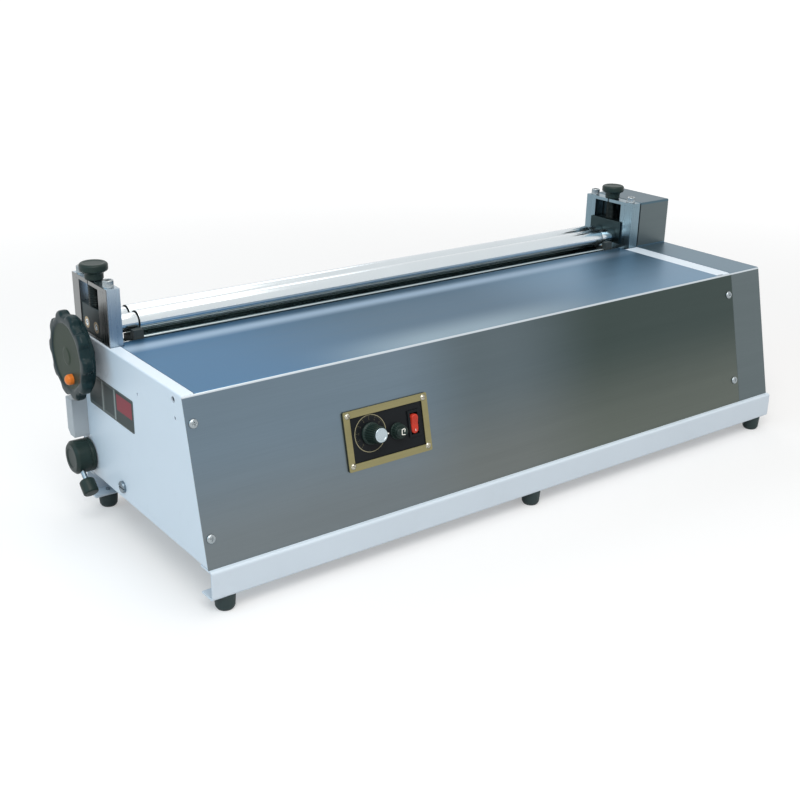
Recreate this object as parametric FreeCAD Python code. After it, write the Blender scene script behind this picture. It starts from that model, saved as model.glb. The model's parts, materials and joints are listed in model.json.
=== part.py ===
import FreeCAD, Part
import math
import os

# Bench-top roller gluing machine. Sheets are pushed over the steel table and
# pass between two press rollers above and one glue roller below.
# +X runs along the rollers to the operator's right, +Y to the back, +Z up.
# Sizes are in millimetres. While it is built, X starts at the outer face of the
# left side plate, Y at the face of the front rail and Z at the floor.

V = FreeCAD.Vector

# Clearances, the overrun of every cut and a full turn in degrees
RUNNING_FIT = 0.05
HOLE_CLEARANCE = 0.2
SEAT_GAP = 0.3
SLIDE_GAP = 0.15
OVERRUN = 5.0
TOLERANCE = 0.01
FULL_TURN = 360

# Rails, base plate and feet
RAIL_LENGTH = 890.0
RAIL_HEIGHT = 33.0
RAIL_DEPTH = 23.0
RAIL_WALL = 2.0
RAIL_BEND = 3.0
BASE_DEPTH = 311.0
BASE_PLATE_WALL = 2.0
BASE_PLATE_INSET = 60.0
FOOT_HEIGHT = 18.0
FOOT_TOP_RADIUS = 11.5
FOOT_BOTTOM_RADIUS = 9.0
FOOT_RIM = 3.0
FOOT_BORE_RADIUS = 5.5
FOOT_BORE_DEPTH = 8.0
FOOT_INSET_X = 20.0
FOOT_COLUMNS = 3
FOOT_SCREW_RADIUS = 2.5
FOOT_SCREW_HEAD_RADIUS = 4.5
FOOT_SCREW_HEAD_HEIGHT = 3.0
RAIL_BOTTOM = FOOT_HEIGHT
RAIL_TOP = RAIL_BOTTOM + RAIL_HEIGHT

# Side plates
END_COVER_LENGTH = 60.0
BODY_HEIGHT = 175.0
PLATE_WALL = 2.0
PLATE_BEND = 1.8
PLATE_REAR_INSET = 1.0
FLANGE_WIDTH = 14.0
RIGHT_TOP_FLANGE_WIDTH = 26.0
PLATE_SPAN = RAIL_LENGTH - END_COVER_LENGTH
PLATE_REAR_Y = BASE_DEPTH - PLATE_REAR_INSET
RIGHT_PLATE_X = PLATE_SPAN - PLATE_WALL
TABLE_LEVEL = RAIL_TOP + BODY_HEIGHT

# Front cover: slanted front and table bent from one sheet
COVER_WALL = 1.5
COVER_FOOT_Y = 5.8
COVER_TOP_Y = 46.5
COVER_BEND = 3.0
TABLE_POST_LAP = 13.5
TABLE_LIP = 8.0
TABLE_EDGE_GAP = 0.5
POST_NOTCH_GAP = 1.0
COVER_RISE = TABLE_LEVEL - RAIL_TOP
COVER_RUN = COVER_TOP_Y - COVER_FOOT_Y
COVER_LENGTH = math.hypot(COVER_RISE, COVER_RUN)
COVER_TILT = math.degrees(math.atan2(COVER_RISE, COVER_RUN))
SLOPE_UP = V(0, COVER_RUN / COVER_LENGTH, COVER_RISE / COVER_LENGTH)
SLOPE_OUT = V(0, -COVER_RISE / COVER_LENGTH, COVER_RUN / COVER_LENGTH)

# Holes that show in the left plate: distance behind the front bend, depth under the table, radius
SPARE_HOLES = {
    "upper": (19.5, 9.5, 3.5),
    "lower": (16.9, 28.7, 2.0),
    "middle": (103.8, 31.0, 1.5),
}

# Small pan-head screws of the covers
PAN_HEAD_RADIUS = 4.2
PAN_HEAD_HEIGHT = 2.6
PAN_CROWN_RADIUS = 1.8
PAN_SHANK_RADIUS = 1.9
PAN_SHANK_LENGTH = 8.0
COVER_SCREW_INSET_X = 8.0
COVER_SCREW_LOW_INSET = 31.0
COVER_SCREW_HIGH_INSET = 29.67
COVER_SCREW_HEIGHTS = (COVER_SCREW_LOW_INSET, COVER_LENGTH - COVER_SCREW_HIGH_INSET)

# Posts with their slots, caps and screws
POST_WIDTH = 16.0
POST_DEPTH = 91.5
POST_RISE = 60.5
POST_DROP = 61.0
POST_FRONT_LEG = 22.5
SLOT_WIDTH = 51.0
SLOT_SILL = 3.0
CAP_THICKNESS = 4.5
CAP_SCREW_HEAD_RADIUS = 6.0
CAP_SCREW_HEAD_HEIGHT = 8.0
CAP_SCREW_SOCKET_RADIUS = 3.2
CAP_SCREW_SOCKET_DEPTH = 4.0
CAP_SCREW_SOCKET_SIDES = 6
CAP_SCREW_SHANK_RADIUS = 3.0
CAP_SCREW_SHANK_LENGTH = 20.0
CAP_SCREW_EDGE_BREAK = 0.8
POST_FRONT_Y = PLATE_REAR_Y - POST_DEPTH
POST_BOTTOM = TABLE_LEVEL - POST_DROP
POST_TOP = TABLE_LEVEL + POST_RISE
SLOT_FRONT_Y = POST_FRONT_Y + POST_FRONT_LEG
SLOT_BACK_Y = SLOT_FRONT_Y + SLOT_WIDTH
SLOT_FLOOR = TABLE_LEVEL + SLOT_SILL
LEFT_POST_X = PLATE_WALL
RIGHT_POST_X = RIGHT_PLATE_X - POST_WIDTH
POST_CENTRES = (LEFT_POST_X + POST_WIDTH / 2, RIGHT_POST_X + POST_WIDTH / 2)
LEG_CENTRES = ((POST_FRONT_Y + SLOT_FRONT_Y) / 2, (SLOT_BACK_Y + PLATE_REAR_Y) / 2)
CAP_TOP = POST_TOP + CAP_THICKNESS
TABLE_BACK_Y = POST_FRONT_Y + TABLE_POST_LAP

# Rear cover
REAR_COVER_WALL = 1.0
REAR_COVER_DROP = 5.0
REAR_SCREW_INSET = 14.0
REAR_COVER_TOP = POST_BOTTOM - REAR_COVER_DROP

# Screws that hold the posts and the motor to the plates from inside
FRAME_SCREW_HEAD_RADIUS = 5.0
FRAME_SCREW_HEAD_HEIGHT = 6.0
FRAME_SCREW_SHANK_RADIUS = 3.0
POST_SCREW_RISE = 30.0
POST_SCREW_INSET = 10.0
POST_SCREW_SINK = 8.0
POST_SCREW_HEIGHT = POST_BOTTOM + POST_SCREW_RISE

# Tie bar between the plates, with a large slotted screw at each end
TIE_BAR_POST_GAP = 14.6
TIE_BAR_RISE = 15.6
TIE_BAR_RADIUS = 9.0
TIE_SCREW_HEAD_RADIUS = 7.0
TIE_SCREW_HEAD_HEIGHT = 3.5
TIE_SCREW_SHANK_RADIUS = 4.0
TIE_SCREW_SHANK_LENGTH = 16.0
TIE_SCREW_SLOT_WIDTH = 1.6
TIE_SCREW_SLOT_DEPTH = 1.4
TIE_BAR_Y = POST_FRONT_Y - TIE_BAR_POST_GAP
TIE_BAR_Z = RAIL_TOP + TIE_BAR_RISE

# Glue roller with its shaft and bushes
GLUE_DROP = 17.0
GLUE_RADIUS = 20.0
GLUE_SHAFT_RADIUS = 8.0
ROLLER_FACE_INSET = 50.0
GLUE_BUSH_RADIUS = 12.0
GLUE_PLATE_CLEARANCE = 2.0
GLUE_Y = SLOT_FRONT_Y + SLOT_WIDTH / 2
GLUE_Z = TABLE_LEVEL - GLUE_DROP
FACE_RIGHT_X = PLATE_SPAN - ROLLER_FACE_INSET

# Press rollers and their sliding blocks
PRESS_RADIUS = 12.0
PRESS_SPACING = 25.0
NIP_GAP = 1.0
PRESS_COLLAR_RADIUS = 10.5
PRESS_JOURNAL_RADIUS = 4.0
PRESS_BUSH_RADIUS = 6.5
PRESS_COLLAR_GAP = 0.5
BLOCK_HEIGHT = 32.0
BLOCK_RECESS = 1.0
BLOCK_LIP_WIDTH = 4.0
BLOCK_LIP_THICKNESS = 2.5
BLOCK_EDGE_BREAK = 0.8
NIP_REACH = GLUE_RADIUS + PRESS_RADIUS + NIP_GAP
PRESS_YS = (GLUE_Y - PRESS_SPACING / 2, GLUE_Y + PRESS_SPACING / 2)
PRESS_Z = GLUE_Z + math.sqrt(NIP_REACH ** 2 - (PRESS_SPACING / 2) ** 2)
BLOCK_BOTTOM = SLOT_FLOOR + SEAT_GAP
BLOCK_TOP = BLOCK_BOTTOM + BLOCK_HEIGHT
BLOCK_OUTER_X = LEFT_POST_X + BLOCK_RECESS
BLOCK_INNER_X = LEFT_POST_X + POST_WIDTH + SEAT_GAP + BLOCK_LIP_THICKNESS
COLLAR_LEFT_X = BLOCK_INNER_X + PRESS_COLLAR_GAP

# Height adjusters: moulded knob on a threaded spindle
SPINDLE_RADIUS = 8.0
SPINDLE_END_RADIUS = 5.0
SPINDLE_END_LENGTH = 9.0
KNOB_RADIUS = 15.0
KNOB_NECK_RADIUS = 10.0
KNOB_HEIGHT = 18.7
KNOB_DISC_THICKNESS = 7.0
KNOB_NECK_HEIGHT = 5.5
KNOB_EDGE_ROUND = 1.8
KNOB_DISH_RADIUS = 12.5
KNOB_DISH_DEPTH = 0.8
KNOB_BORE_RADIUS = 4.0
KNOB_BORE_DEPTH = 10.0
KNOB_BOTTOM = CAP_TOP + SEAT_GAP

# Doctor blade, end dams and the studs that carry them
BLADE_SLOT_GAP = 4.5
BLADE_BAR_WIDTH = 4.0
BLADE_DROP = 3.0
BLADE_PROUD = 0.5
BLADE_TOP_ROUND = 1.6
BLADE_EDGE_THICKNESS = 1.6
BLADE_ROLLER_GAP = 0.5
DAM_THICKNESS = 12.0
DAM_SIDE_GAP = 0.5
DAM_BLADE_LAP = 2.5
DAM_SHAFT_LAP = 4.5
DAM_DROP = 5.0
DAM_HORN_RISE = 9.0
DAM_HORN_WIDTH = 8.5
DAM_STEP_DROP = 1.0
DAM_STUD_RADIUS = 3.0
DAM_STUD_DROP = 5.0
DAM_STUD_SINK = 5.0
BLADE_Y = SLOT_FRONT_Y - BLADE_SLOT_GAP
BLADE_BOTTOM = GLUE_Z - BLADE_DROP
BLADE_TOP = TABLE_LEVEL + BLADE_PROUD
DAM_FRONT_Y = BLADE_Y - DAM_BLADE_LAP
DAM_REAR_Y = GLUE_Y - DAM_SHAFT_LAP
DAM_BOTTOM = GLUE_Z - DAM_DROP
DAM_TOP = TABLE_LEVEL + DAM_HORN_RISE
DAM_STEP_Z = TABLE_LEVEL - DAM_STEP_DROP
DAM_STUD_Z = TABLE_LEVEL - DAM_STUD_DROP

# Hand wheel on the left end of the glue roller's shaft
WHEEL_LOBE_RADIUS = 51.0
WHEEL_VALLEY_RADIUS = 46.0
WHEEL_LOBES = 10
WHEEL_FRONT_REACH = 30.0
WHEEL_RIM_THICKNESS = 12.0
WHEEL_BACK_THICKNESS = 5.0
WHEEL_DISH_RADIUS = 38.0
WHEEL_DISH_DEPTH = 1.5
WHEEL_EDGE_ROUND = 1.8
WHEEL_HUB_RADIUS = 16.0
WHEEL_HUB_REACH = 3.0
WHEEL_SEAT_RADIUS = 6.0
BUTTON_RADIUS = 6.0
BUTTON_HEIGHT = 7.0
BUTTON_CROWN_RADIUS = 5.5
BUTTON_OFFSET_Y = 10.1
BUTTON_OFFSET_Z = 23.9

# Gears on the right: glue roller, two press rollers, idler and motor pinion
GEAR_MODULE = 2.0
PRESSURE_ANGLE = 20.0
GEAR_BACKLASH = 0.3
GEAR_DEDENDUM_FACTOR = 1.25
GLUE_TEETH = 20
PRESS_TEETH = 12
IDLER_TEETH = 30
PINION_TEETH = 16
IDLER_ANGLE = 216.87
MOTOR_ANGLE = 198.0
GEAR_CENTRE_GAP = 0.3
GEAR_PLATE_GAP = 6.0
GEAR_WIDTH = 9.0
GEAR_STEP = 11.0
IDLER_STUD_RADIUS = 5.0
IDLER_STUD_HEAD_RADIUS = 8.0
IDLER_STUD_HEAD_HEIGHT = 3.0
IDLER_STUD_SINK = 10.0
PINION_SHAFT_RADIUS = 5.0
GEAR_X = PLATE_SPAN + GEAR_PLATE_GAP
GEAR_END_X = GEAR_X + GEAR_STEP + GEAR_WIDTH
IDLER_DISTANCE = GEAR_MODULE * (GLUE_TEETH + IDLER_TEETH) / 2 + GEAR_CENTRE_GAP
MOTOR_DISTANCE = GEAR_MODULE * (IDLER_TEETH + PINION_TEETH) / 2 + GEAR_CENTRE_GAP
IDLER_Y = GLUE_Y + IDLER_DISTANCE * math.cos(math.radians(IDLER_ANGLE))
IDLER_Z = GLUE_Z + IDLER_DISTANCE * math.sin(math.radians(IDLER_ANGLE))
MOTOR_Y = IDLER_Y + MOTOR_DISTANCE * math.cos(math.radians(MOTOR_ANGLE))
MOTOR_Z = IDLER_Z + MOTOR_DISTANCE * math.sin(math.radians(MOTOR_ANGLE))

# Motor with its gearbox
GEARBOX_SIZE = 60.0
GEARBOX_LENGTH = 36.0
MOTOR_RADIUS = 27.0
MOTOR_LENGTH = 78.0
MOTOR_EDGE_ROUND = 4.0
MOTOR_BOSS_RADIUS = 12.0
MOTOR_SCREW_INSET = 8.0
MOTOR_SHAFT_DEPTH = 22.0

# Right end: lower cover, upper gear cover, studs, power inlet
END_COVER_WALL = 1.2
END_COVER_GAP = 0.3
GEAR_COVER_WINDOW_FRONT = 12.0
GEAR_COVER_WINDOW_RISE = 30.0
COVER_STUD_RADIUS = 4.0
COVER_STUD_FRONT_INSET = 15.5
COVER_STUD_REAR_INSET = 16.0
COVER_STUD_RISE = 15.0
COVER_STUD_DROP = 21.0
COVER_STUD_FRONT_DROP = 36.0
GEAR_COVER_STUD_DROP = 9.5
INLET_WIDTH = 27.0
INLET_HEIGHT = 20.0
INLET_DEPTH = 22.0
INLET_FLANGE = 2.5
INLET_CAVITY_DEPTH = 15.0
INLET_WALL = 2.0
INLET_RISE = 39.0
INLET_PIN_WIDTH = 2.0
INLET_PIN_SPACING = 7.0
END_COVER_X = PLATE_SPAN + END_COVER_GAP
GEAR_COVER_WINDOW_TOP = TABLE_LEVEL + GEAR_COVER_WINDOW_RISE
COVER_STUD_FRONT_Y = COVER_TOP_Y + COVER_STUD_FRONT_INSET
COVER_STUD_HEIGHTS = (RAIL_TOP + COVER_STUD_RISE, TABLE_LEVEL - COVER_STUD_DROP)
COVER_STUD_FRONT_HEIGHTS = (RAIL_TOP + COVER_STUD_RISE, TABLE_LEVEL - COVER_STUD_FRONT_DROP)
GEAR_COVER_STUD_Z = POST_TOP - GEAR_COVER_STUD_DROP
INLET_Z = RAIL_TOP + INLET_RISE

# Tray lever: drum, rod, knob, cross shaft and cams
LEVER_REAR_INSET = 19.0
LEVER_RISE = 24.6
DRUM_RADIUS = 20.0
DRUM_REACH = 25.0
DRUM_PLATE_GAP = 1.0
DRUM_CHAMFER = 3.0
LEVER_ANGLE = 222.0
LEVER_SWEEP = 90.0
LEVER_ROD_RADIUS = 3.0
LEVER_ROD_SINK = 8.0
LEVER_ROD_OFFSET = 7.0
LEVER_LENGTH = 49.0
LEVER_KNOB_RADIUS = 9.0
LEVER_KNOB_LENGTH = 18.0
LEVER_KNOB_ROUND = 1.2
LEVER_KNOB_BORE_DEPTH = 10.0
LIFT_SHAFT_RADIUS = 6.0
LEVER_BUSH_RADIUS = 9.0
CAM_LOW_RADIUS = 14.0
CAM_THICKNESS = 8.0
CAM_ROD_GAP = 0.65
CAM_STEPS = 9
CAM_HEEL_STEPS = 11
CAM_START_ANGLE = 90.0
CAM_BACK_ANGLE = 240.0
LIFT_ROD_RADIUS = 4.0
LIFT_ROD_INSET = 68.0
LEVER_Y = PLATE_REAR_Y - LEVER_REAR_INSET
LEVER_Z = RAIL_TOP + LEVER_RISE
LIFT_ROD_XS = (LIFT_ROD_INSET, PLATE_SPAN - LIFT_ROD_INSET)

# Side box on the left plate, above the lever drum
SIDE_BOX_REACH = 18.5
SIDE_BOX_DEPTH = 18.0
SIDE_BOX_HEIGHT = 47.0
SIDE_BOX_DRUM_GAP = 3.4
SIDE_BOX_CHAMFER = 6.0
SIDE_BOX_EDGE_ROUND = 1.0
SIDE_BOX_BOTTOM = LEVER_Z + DRUM_RADIUS + SIDE_BOX_DRUM_GAP
SIDE_BOX_TOP = SIDE_BOX_BOTTOM + SIDE_BOX_HEIGHT

# Glue tray and its guides
TRAY_LIFT = 12.0
TRAY_WALL = 1.2
TRAY_FLOOR_DROP = 41.0
TRAY_RIM_DROP = 7.0
TRAY_FRONT_GAP = 17.5
TRAY_REAR_GAP = 5.0
TRAY_CORNER = 8.0
TRAY_POST_GAP = 1.0
TRAY_NOTCH_RADIUS = 10.0
TRAY_NOTCH_DEPTH = 17.0
GUIDE_THICKNESS = 6.0
GUIDE_DROP = 32.0
GUIDE_WIDTH = 24.0
GUIDE_OVERHANG = 10.0
GUIDE_FOOT_HEIGHT = 16.0
GUIDE_FOOT_WALL = 3.0
TRAY_FLOOR = GLUE_Z - TRAY_FLOOR_DROP
TRAY_RIM = GLUE_Z - TRAY_RIM_DROP
TRAY_FRONT_Y = GLUE_Y - GLUE_RADIUS - TRAY_FRONT_GAP
TRAY_BACK_Y = PLATE_REAR_Y - TRAY_REAR_GAP
GUIDE_BOTTOM = REAR_COVER_TOP - GUIDE_DROP

# Control panel on the slanted front. Heights are measured up the slope.
PANEL_CENTRE_X = 235.7
PANEL_CENTRE_S = 91.0
PANEL_WIDTH = 113.0
PANEL_HEIGHT = 66.5
PANEL_CORNER = 2.0
FACE_THICKNESS = 1.0
BEZEL_BORDER = 8.0
BEZEL_THICKNESS = 1.5
PANEL_WINDOW_MARGIN = 11.0
PANEL_SCREW_INSET = 5.5
DOME_RADIUS = 3.6
DOME_HEIGHT = 2.2
DOME_SHANK_RADIUS = 1.5
DOME_SHANK_LENGTH = 6.0
SPEED_PLACE_SHARE = 0.20531
SPEED_SHIFT_S = 3.6
SPEED_SKIRT_RADIUS = 12.5
SPEED_TOP_RADIUS = 9.5
SPEED_SKIRT_HEIGHT = 4.0
SPEED_HEIGHT = 20.0
SPEED_CAP_RADIUS = 8.0
SPEED_CAP_HEIGHT = 1.2
SPEED_RIBS = 18
SPEED_RIB_RADIUS = 0.8
SELECTOR_PLACE_SHARE = 0.104425
SELECTOR_SHIFT_S = 1.5
SELECTOR_RADIUS = 9.5
SELECTOR_TOP_RADIUS = 8.2
SELECTOR_HEIGHT = 12.0
SELECTOR_GRIP_WIDTH = 5.0
SELECTOR_GRIP_HEIGHT = 4.0
CONTROL_BODY_RADIUS = 12.0
CONTROL_BODY_DEPTH = 12.0
CONTROL_NECK_RADIUS = 4.8
CONTROL_NECK_HEIGHT = 3.0
CONTROL_SPINDLE_RADIUS = 3.0
CONTROL_SPINDLE_DEPTH = 8.0
ROCKER_PLACE_SHARE = 0.315044
ROCKER_SHIFT_S = 2.0
ROCKER_WIDTH = 16.0
ROCKER_HEIGHT = 30.0
ROCKER_FRAME = 1.8
ROCKER_FRAME_HEIGHT = 1.8
ROCKER_WELL_WALL = 2.7
ROCKER_BODY_DEPTH = 18.0
ROCKER_TRAVEL = 14.0
ROCKER_PIVOT_DEPTH = 2.0
ROCKER_THICKNESS = 4.5
ROCKER_SIDE_GAP = 0.4
ROCKER_END_GAP = 1.0
ROCKER_PIN_RADIUS = 1.2
BOARD_WIDTH = 84.0
BOARD_HEIGHT = 56.0
BOARD_THICKNESS = 1.6
BOARD_DEPTH = 26.0
BOARD_POST_RADIUS = 2.5
BOARD_POST_INSET = 5.0
BOARD_POST_SHIFT = 3.0
HEATSINK_WIDTH = 24.0
HEATSINK_HEIGHT = 18.0
HEATSINK_DEPTH = 12.0
SPEED_X = PANEL_CENTRE_X - PANEL_WIDTH * SPEED_PLACE_SHARE
SPEED_S = PANEL_CENTRE_S + SPEED_SHIFT_S
SELECTOR_X = PANEL_CENTRE_X + PANEL_WIDTH * SELECTOR_PLACE_SHARE
SELECTOR_S = PANEL_CENTRE_S - SELECTOR_SHIFT_S
ROCKER_X = PANEL_CENTRE_X + PANEL_WIDTH * ROCKER_PLACE_SHARE
ROCKER_S = PANEL_CENTRE_S + ROCKER_SHIFT_S

# The shift that puts the origin under the middle of the machine
LEFT_REACH = -WHEEL_FRONT_REACH - BUTTON_HEIGHT
RIGHT_REACH = RAIL_LENGTH + PAN_HEAD_HEIGHT
BACK_REACH = GLUE_Y + WHEEL_LOBE_RADIUS
ORIGIN = V((LEFT_REACH + RIGHT_REACH) / 2, BACK_REACH / 2, 0)


# Basic shapes

def box(x0, x1, y0, y1, z0, z1):
    """A block between two corners."""
    return Part.makeBox(x1 - x0, y1 - y0, z1 - z0, V(x0, y0, z0))


def rod_x(radius, x0, x1, y, z):
    """A round bar along X."""
    return Part.makeCylinder(radius, x1 - x0, V(x0, y, z), V(1, 0, 0))


def rod_y(radius, y0, y1, x, z):
    """A round bar along Y."""
    return Part.makeCylinder(radius, y1 - y0, V(x, y0, z), V(0, 1, 0))


def rod_z(radius, z0, z1, x, y):
    """A round bar along Z."""
    return Part.makeCylinder(radius, z1 - z0, V(x, y, z0), V(0, 0, 1))


def prism_x(outline, x0, x1):
    """An outline of (y, z) points carried along X."""
    points = [V(x0, y, z) for y, z in outline]
    face = Part.Face(Part.makePolygon(points + points[:1]))
    return face.extrude(V(x1 - x0, 0, 0))


def turned(profile, base, axis, across):
    """A closed profile of (along, radius) points turned about an axis."""
    points = [base + axis * along + across * radius for along, radius in profile]
    face = Part.Face(Part.makePolygon(points + points[:1]))
    return face.revolve(base, axis, FULL_TURN)


def turned_x(profile, y, z):
    """A profile of (x, radius) points turned about an axis along X."""
    return turned(profile, V(0, y, z), V(1, 0, 0), V(0, 0, 1))


def turned_z(profile, x, y):
    """A profile of (z, radius) points turned about an axis along Z."""
    return turned(profile, V(x, y, 0), V(0, 0, 1), V(1, 0, 0))


def edges_along_x(shape, places):
    """The edges parallel to X that pass through the given (y, z) places."""
    found = []
    for edge in shape.Edges:
        a = edge.Vertexes[0].Point
        b = edge.Vertexes[-1].Point
        if math.hypot(a.y - b.y, a.z - b.z) > TOLERANCE or abs(a.x - b.x) < TOLERANCE:
            continue
        if any(math.hypot(a.y - y, a.z - z) < TOLERANCE for y, z in places):
            found.append(edge)
    return found


def edges_at(shape, axis, level):
    """The edges that lie wholly at one level along an axis, 0 for X to 2 for Z."""
    limits = (("XMin", "XMax"), ("YMin", "YMax"), ("ZMin", "ZMax"))[axis]
    return [edge for edge in shape.Edges
            if all(abs(getattr(edge.BoundBox, name) - level) < TOLERANCE for name in limits)]


def mirrored(shape):
    """The same shape on the other side, mirrored about the middle of the plates."""
    return shape.mirror(V(PLATE_SPAN / 2, 0, 0), V(1, 0, 0))


def group(shapes):
    """Several separate solids as one node."""
    return Part.makeCompound(shapes)


def on_slope(shape):
    """Moves a shape drawn flat (x, up the slope, out of it) onto the slanted front."""
    turn = FreeCAD.Rotation(V(1, 0, 0), COVER_TILT)
    place = FreeCAD.Placement(V(0, COVER_FOOT_Y, RAIL_TOP), turn)
    return shape.transformed(place.toMatrix(), True)


def slope_y(z, inward):
    """The Y of the slanted front at a height, moved inward square to the sheet."""
    along = COVER_FOOT_Y + (z - RAIL_TOP) * COVER_RUN / COVER_RISE
    return along + inward * COVER_LENGTH / COVER_RISE


def save(name, shape):
    """Writes one node, moved so that the origin is under the middle of the machine."""
    placed = shape.copy()
    placed.translate(V(-ORIGIN.x, -ORIGIN.y, 0))
    placed.exportStep("parts/" + name + ".step")


# Rails, base plate, feet

def foot_places():
    """The (x, y) centres of the feet, in two rows."""
    span = (RAIL_LENGTH - 2 * FOOT_INSET_X) / (FOOT_COLUMNS - 1)
    xs = [FOOT_INSET_X + span * i for i in range(FOOT_COLUMNS)]
    return [(x, y) for y in (RAIL_DEPTH / 2, BASE_DEPTH - RAIL_DEPTH / 2) for x in xs]


def rail(web_y, open_y):
    """A bent channel whose web is at web_y and whose flanges reach to open_y."""
    side = math.copysign(RAIL_WALL, open_y - web_y)
    low, high = RAIL_BOTTOM, RAIL_TOP
    outline = [(open_y, low), (web_y, low), (web_y, high), (open_y, high),
               (open_y, high - RAIL_WALL), (web_y + side, high - RAIL_WALL),
               (web_y + side, low + RAIL_WALL), (open_y, low + RAIL_WALL)]
    shape = prism_x(outline, 0, RAIL_LENGTH)
    shape = shape.makeFillet(RAIL_BEND, edges_along_x(shape, [(web_y, low), (web_y, high)]))
    for x, y in foot_places():
        if min(web_y, open_y) < y < max(web_y, open_y):
            hole = rod_z(FOOT_SCREW_RADIUS + HOLE_CLEARANCE, low - OVERRUN, low + OVERRUN, x, y)
            shape = shape.cut(hole)
    return shape


def base_plate():
    """The sheet that lies in both channels between the end feet and stiffens the frame."""
    bottom = RAIL_BOTTOM + RAIL_WALL
    left, right = BASE_PLATE_INSET, RAIL_LENGTH - BASE_PLATE_INSET
    shape = box(left, right, RAIL_BEND, BASE_DEPTH - RAIL_BEND, bottom, bottom + BASE_PLATE_WALL)
    for x, y in foot_places():
        if left < x < right:
            hole = rod_z(FOOT_SCREW_RADIUS + HOLE_CLEARANCE, bottom - OVERRUN, bottom + OVERRUN, x, y)
            shape = shape.cut(hole)
    return shape


def rubber_foot(x, y):
    """A tapered rubber foot with a sunk bore for its screw."""
    profile = [(0, FOOT_BORE_RADIUS), (0, FOOT_BOTTOM_RADIUS), (FOOT_HEIGHT - FOOT_RIM, FOOT_TOP_RADIUS),
               (FOOT_HEIGHT, FOOT_TOP_RADIUS), (FOOT_HEIGHT, FOOT_SCREW_RADIUS + HOLE_CLEARANCE),
               (FOOT_BORE_DEPTH, FOOT_SCREW_RADIUS + HOLE_CLEARANCE), (FOOT_BORE_DEPTH, FOOT_BORE_RADIUS)]
    return turned_z(profile, x, y)


def foot_screw(x, y):
    """The screw inside a foot, up through the rail and the base plate."""
    top = RAIL_BOTTOM + RAIL_WALL + BASE_PLATE_WALL
    head = rod_z(FOOT_SCREW_HEAD_RADIUS, FOOT_BORE_DEPTH - FOOT_SCREW_HEAD_HEIGHT, FOOT_BORE_DEPTH, x, y)
    return head.fuse(rod_z(FOOT_SCREW_RADIUS, FOOT_BORE_DEPTH, top, x, y))


# Sheet metal body

def side_outline(inset):
    """The side plate's outline, moved inward by the same amount all round."""
    low, high = RAIL_TOP + inset, TABLE_LEVEL - inset
    inward = COVER_WALL + inset
    return [(slope_y(low, inward), low), (slope_y(high, inward), high),
            (PLATE_REAR_Y - inset, high), (PLATE_REAR_Y - inset, low)]


def side_plate(top_flange):
    """A side plate with its edges bent inward, drawn as the left one."""
    shape = prism_x(side_outline(0), 0, FLANGE_WIDTH)
    shape = shape.cut(prism_x(side_outline(PLATE_WALL), PLATE_WALL, FLANGE_WIDTH + OVERRUN))
    if top_flange > FLANGE_WIDTH:
        front = slope_y(TABLE_LEVEL - PLATE_WALL, COVER_WALL + PLATE_WALL)
        shape = shape.fuse(box(PLATE_WALL, top_flange, front, PLATE_REAR_Y,
                               TABLE_LEVEL - PLATE_WALL, TABLE_LEVEL)).removeSplitter()
    shape = shape.makeFillet(COVER_BEND, edges_along_x(shape, side_outline(0)[1:2]))
    shape = shape.makeFillet(PLATE_BEND, edges_at(shape, 0, 0))
    notch = POST_FRONT_Y - POST_NOTCH_GAP
    shape = shape.cut(box(PLATE_WALL, top_flange + OVERRUN, notch, PLATE_REAR_Y + OVERRUN,
                          POST_BOTTOM - POST_NOTCH_GAP, TABLE_LEVEL + OVERRUN))
    holes = [rod_x(GLUE_SHAFT_RADIUS + GLUE_PLATE_CLEARANCE, -OVERRUN, OVERRUN, GLUE_Y, GLUE_Z),
             rod_x(LEVER_BUSH_RADIUS + RUNNING_FIT, -OVERRUN, OVERRUN, LEVER_Y, LEVER_Z),
             rod_x(TIE_SCREW_SHANK_RADIUS + HOLE_CLEARANCE, -OVERRUN, OVERRUN, TIE_BAR_Y, TIE_BAR_Z)]
    holes += [rod_x(FRAME_SCREW_SHANK_RADIUS + HOLE_CLEARANCE, -OVERRUN, OVERRUN, y, POST_SCREW_HEIGHT)
              for y in post_screw_ys()]
    for height in COVER_SCREW_HEIGHTS:
        holes.append(on_slope(rod_z(PAN_SHANK_RADIUS + HOLE_CLEARANCE, -COVER_WALL - PAN_SHANK_LENGTH,
                                    OVERRUN, COVER_SCREW_INSET_X, height)))
    for z in rear_screw_heights():
        holes.append(rod_y(PAN_SHANK_RADIUS + HOLE_CLEARANCE, PLATE_REAR_Y - OVERRUN,
                           PLATE_REAR_Y + OVERRUN, COVER_SCREW_INSET_X, z))
    for hole in holes:
        shape = shape.cut(hole)
    return shape


def left_side_plate():
    """The left plate with the spare holes that show beside the label."""
    shape = side_plate(FLANGE_WIDTH)
    for behind, below, radius in SPARE_HOLES.values():
        hole = rod_x(radius, -OVERRUN, OVERRUN, COVER_TOP_Y + behind, TABLE_LEVEL - below)
        shape = shape.cut(hole)
    return shape


def right_side_plate():
    """The right plate, which also carries the motor, the idler and the cover studs."""
    shape = mirrored(side_plate(RIGHT_TOP_FLANGE_WIDTH))
    low, high = RIGHT_PLATE_X - OVERRUN, PLATE_SPAN + OVERRUN
    holes = [rod_x(MOTOR_BOSS_RADIUS + HOLE_CLEARANCE, low, high, MOTOR_Y, MOTOR_Z),
             rod_x(IDLER_STUD_RADIUS + HOLE_CLEARANCE, low, high, IDLER_Y, IDLER_Z)]
    holes += [rod_x(FRAME_SCREW_SHANK_RADIUS + HOLE_CLEARANCE, low, high, y, z)
              for y, z in motor_screw_places()]
    for hole in holes:
        shape = shape.cut(hole)
    return shape


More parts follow.
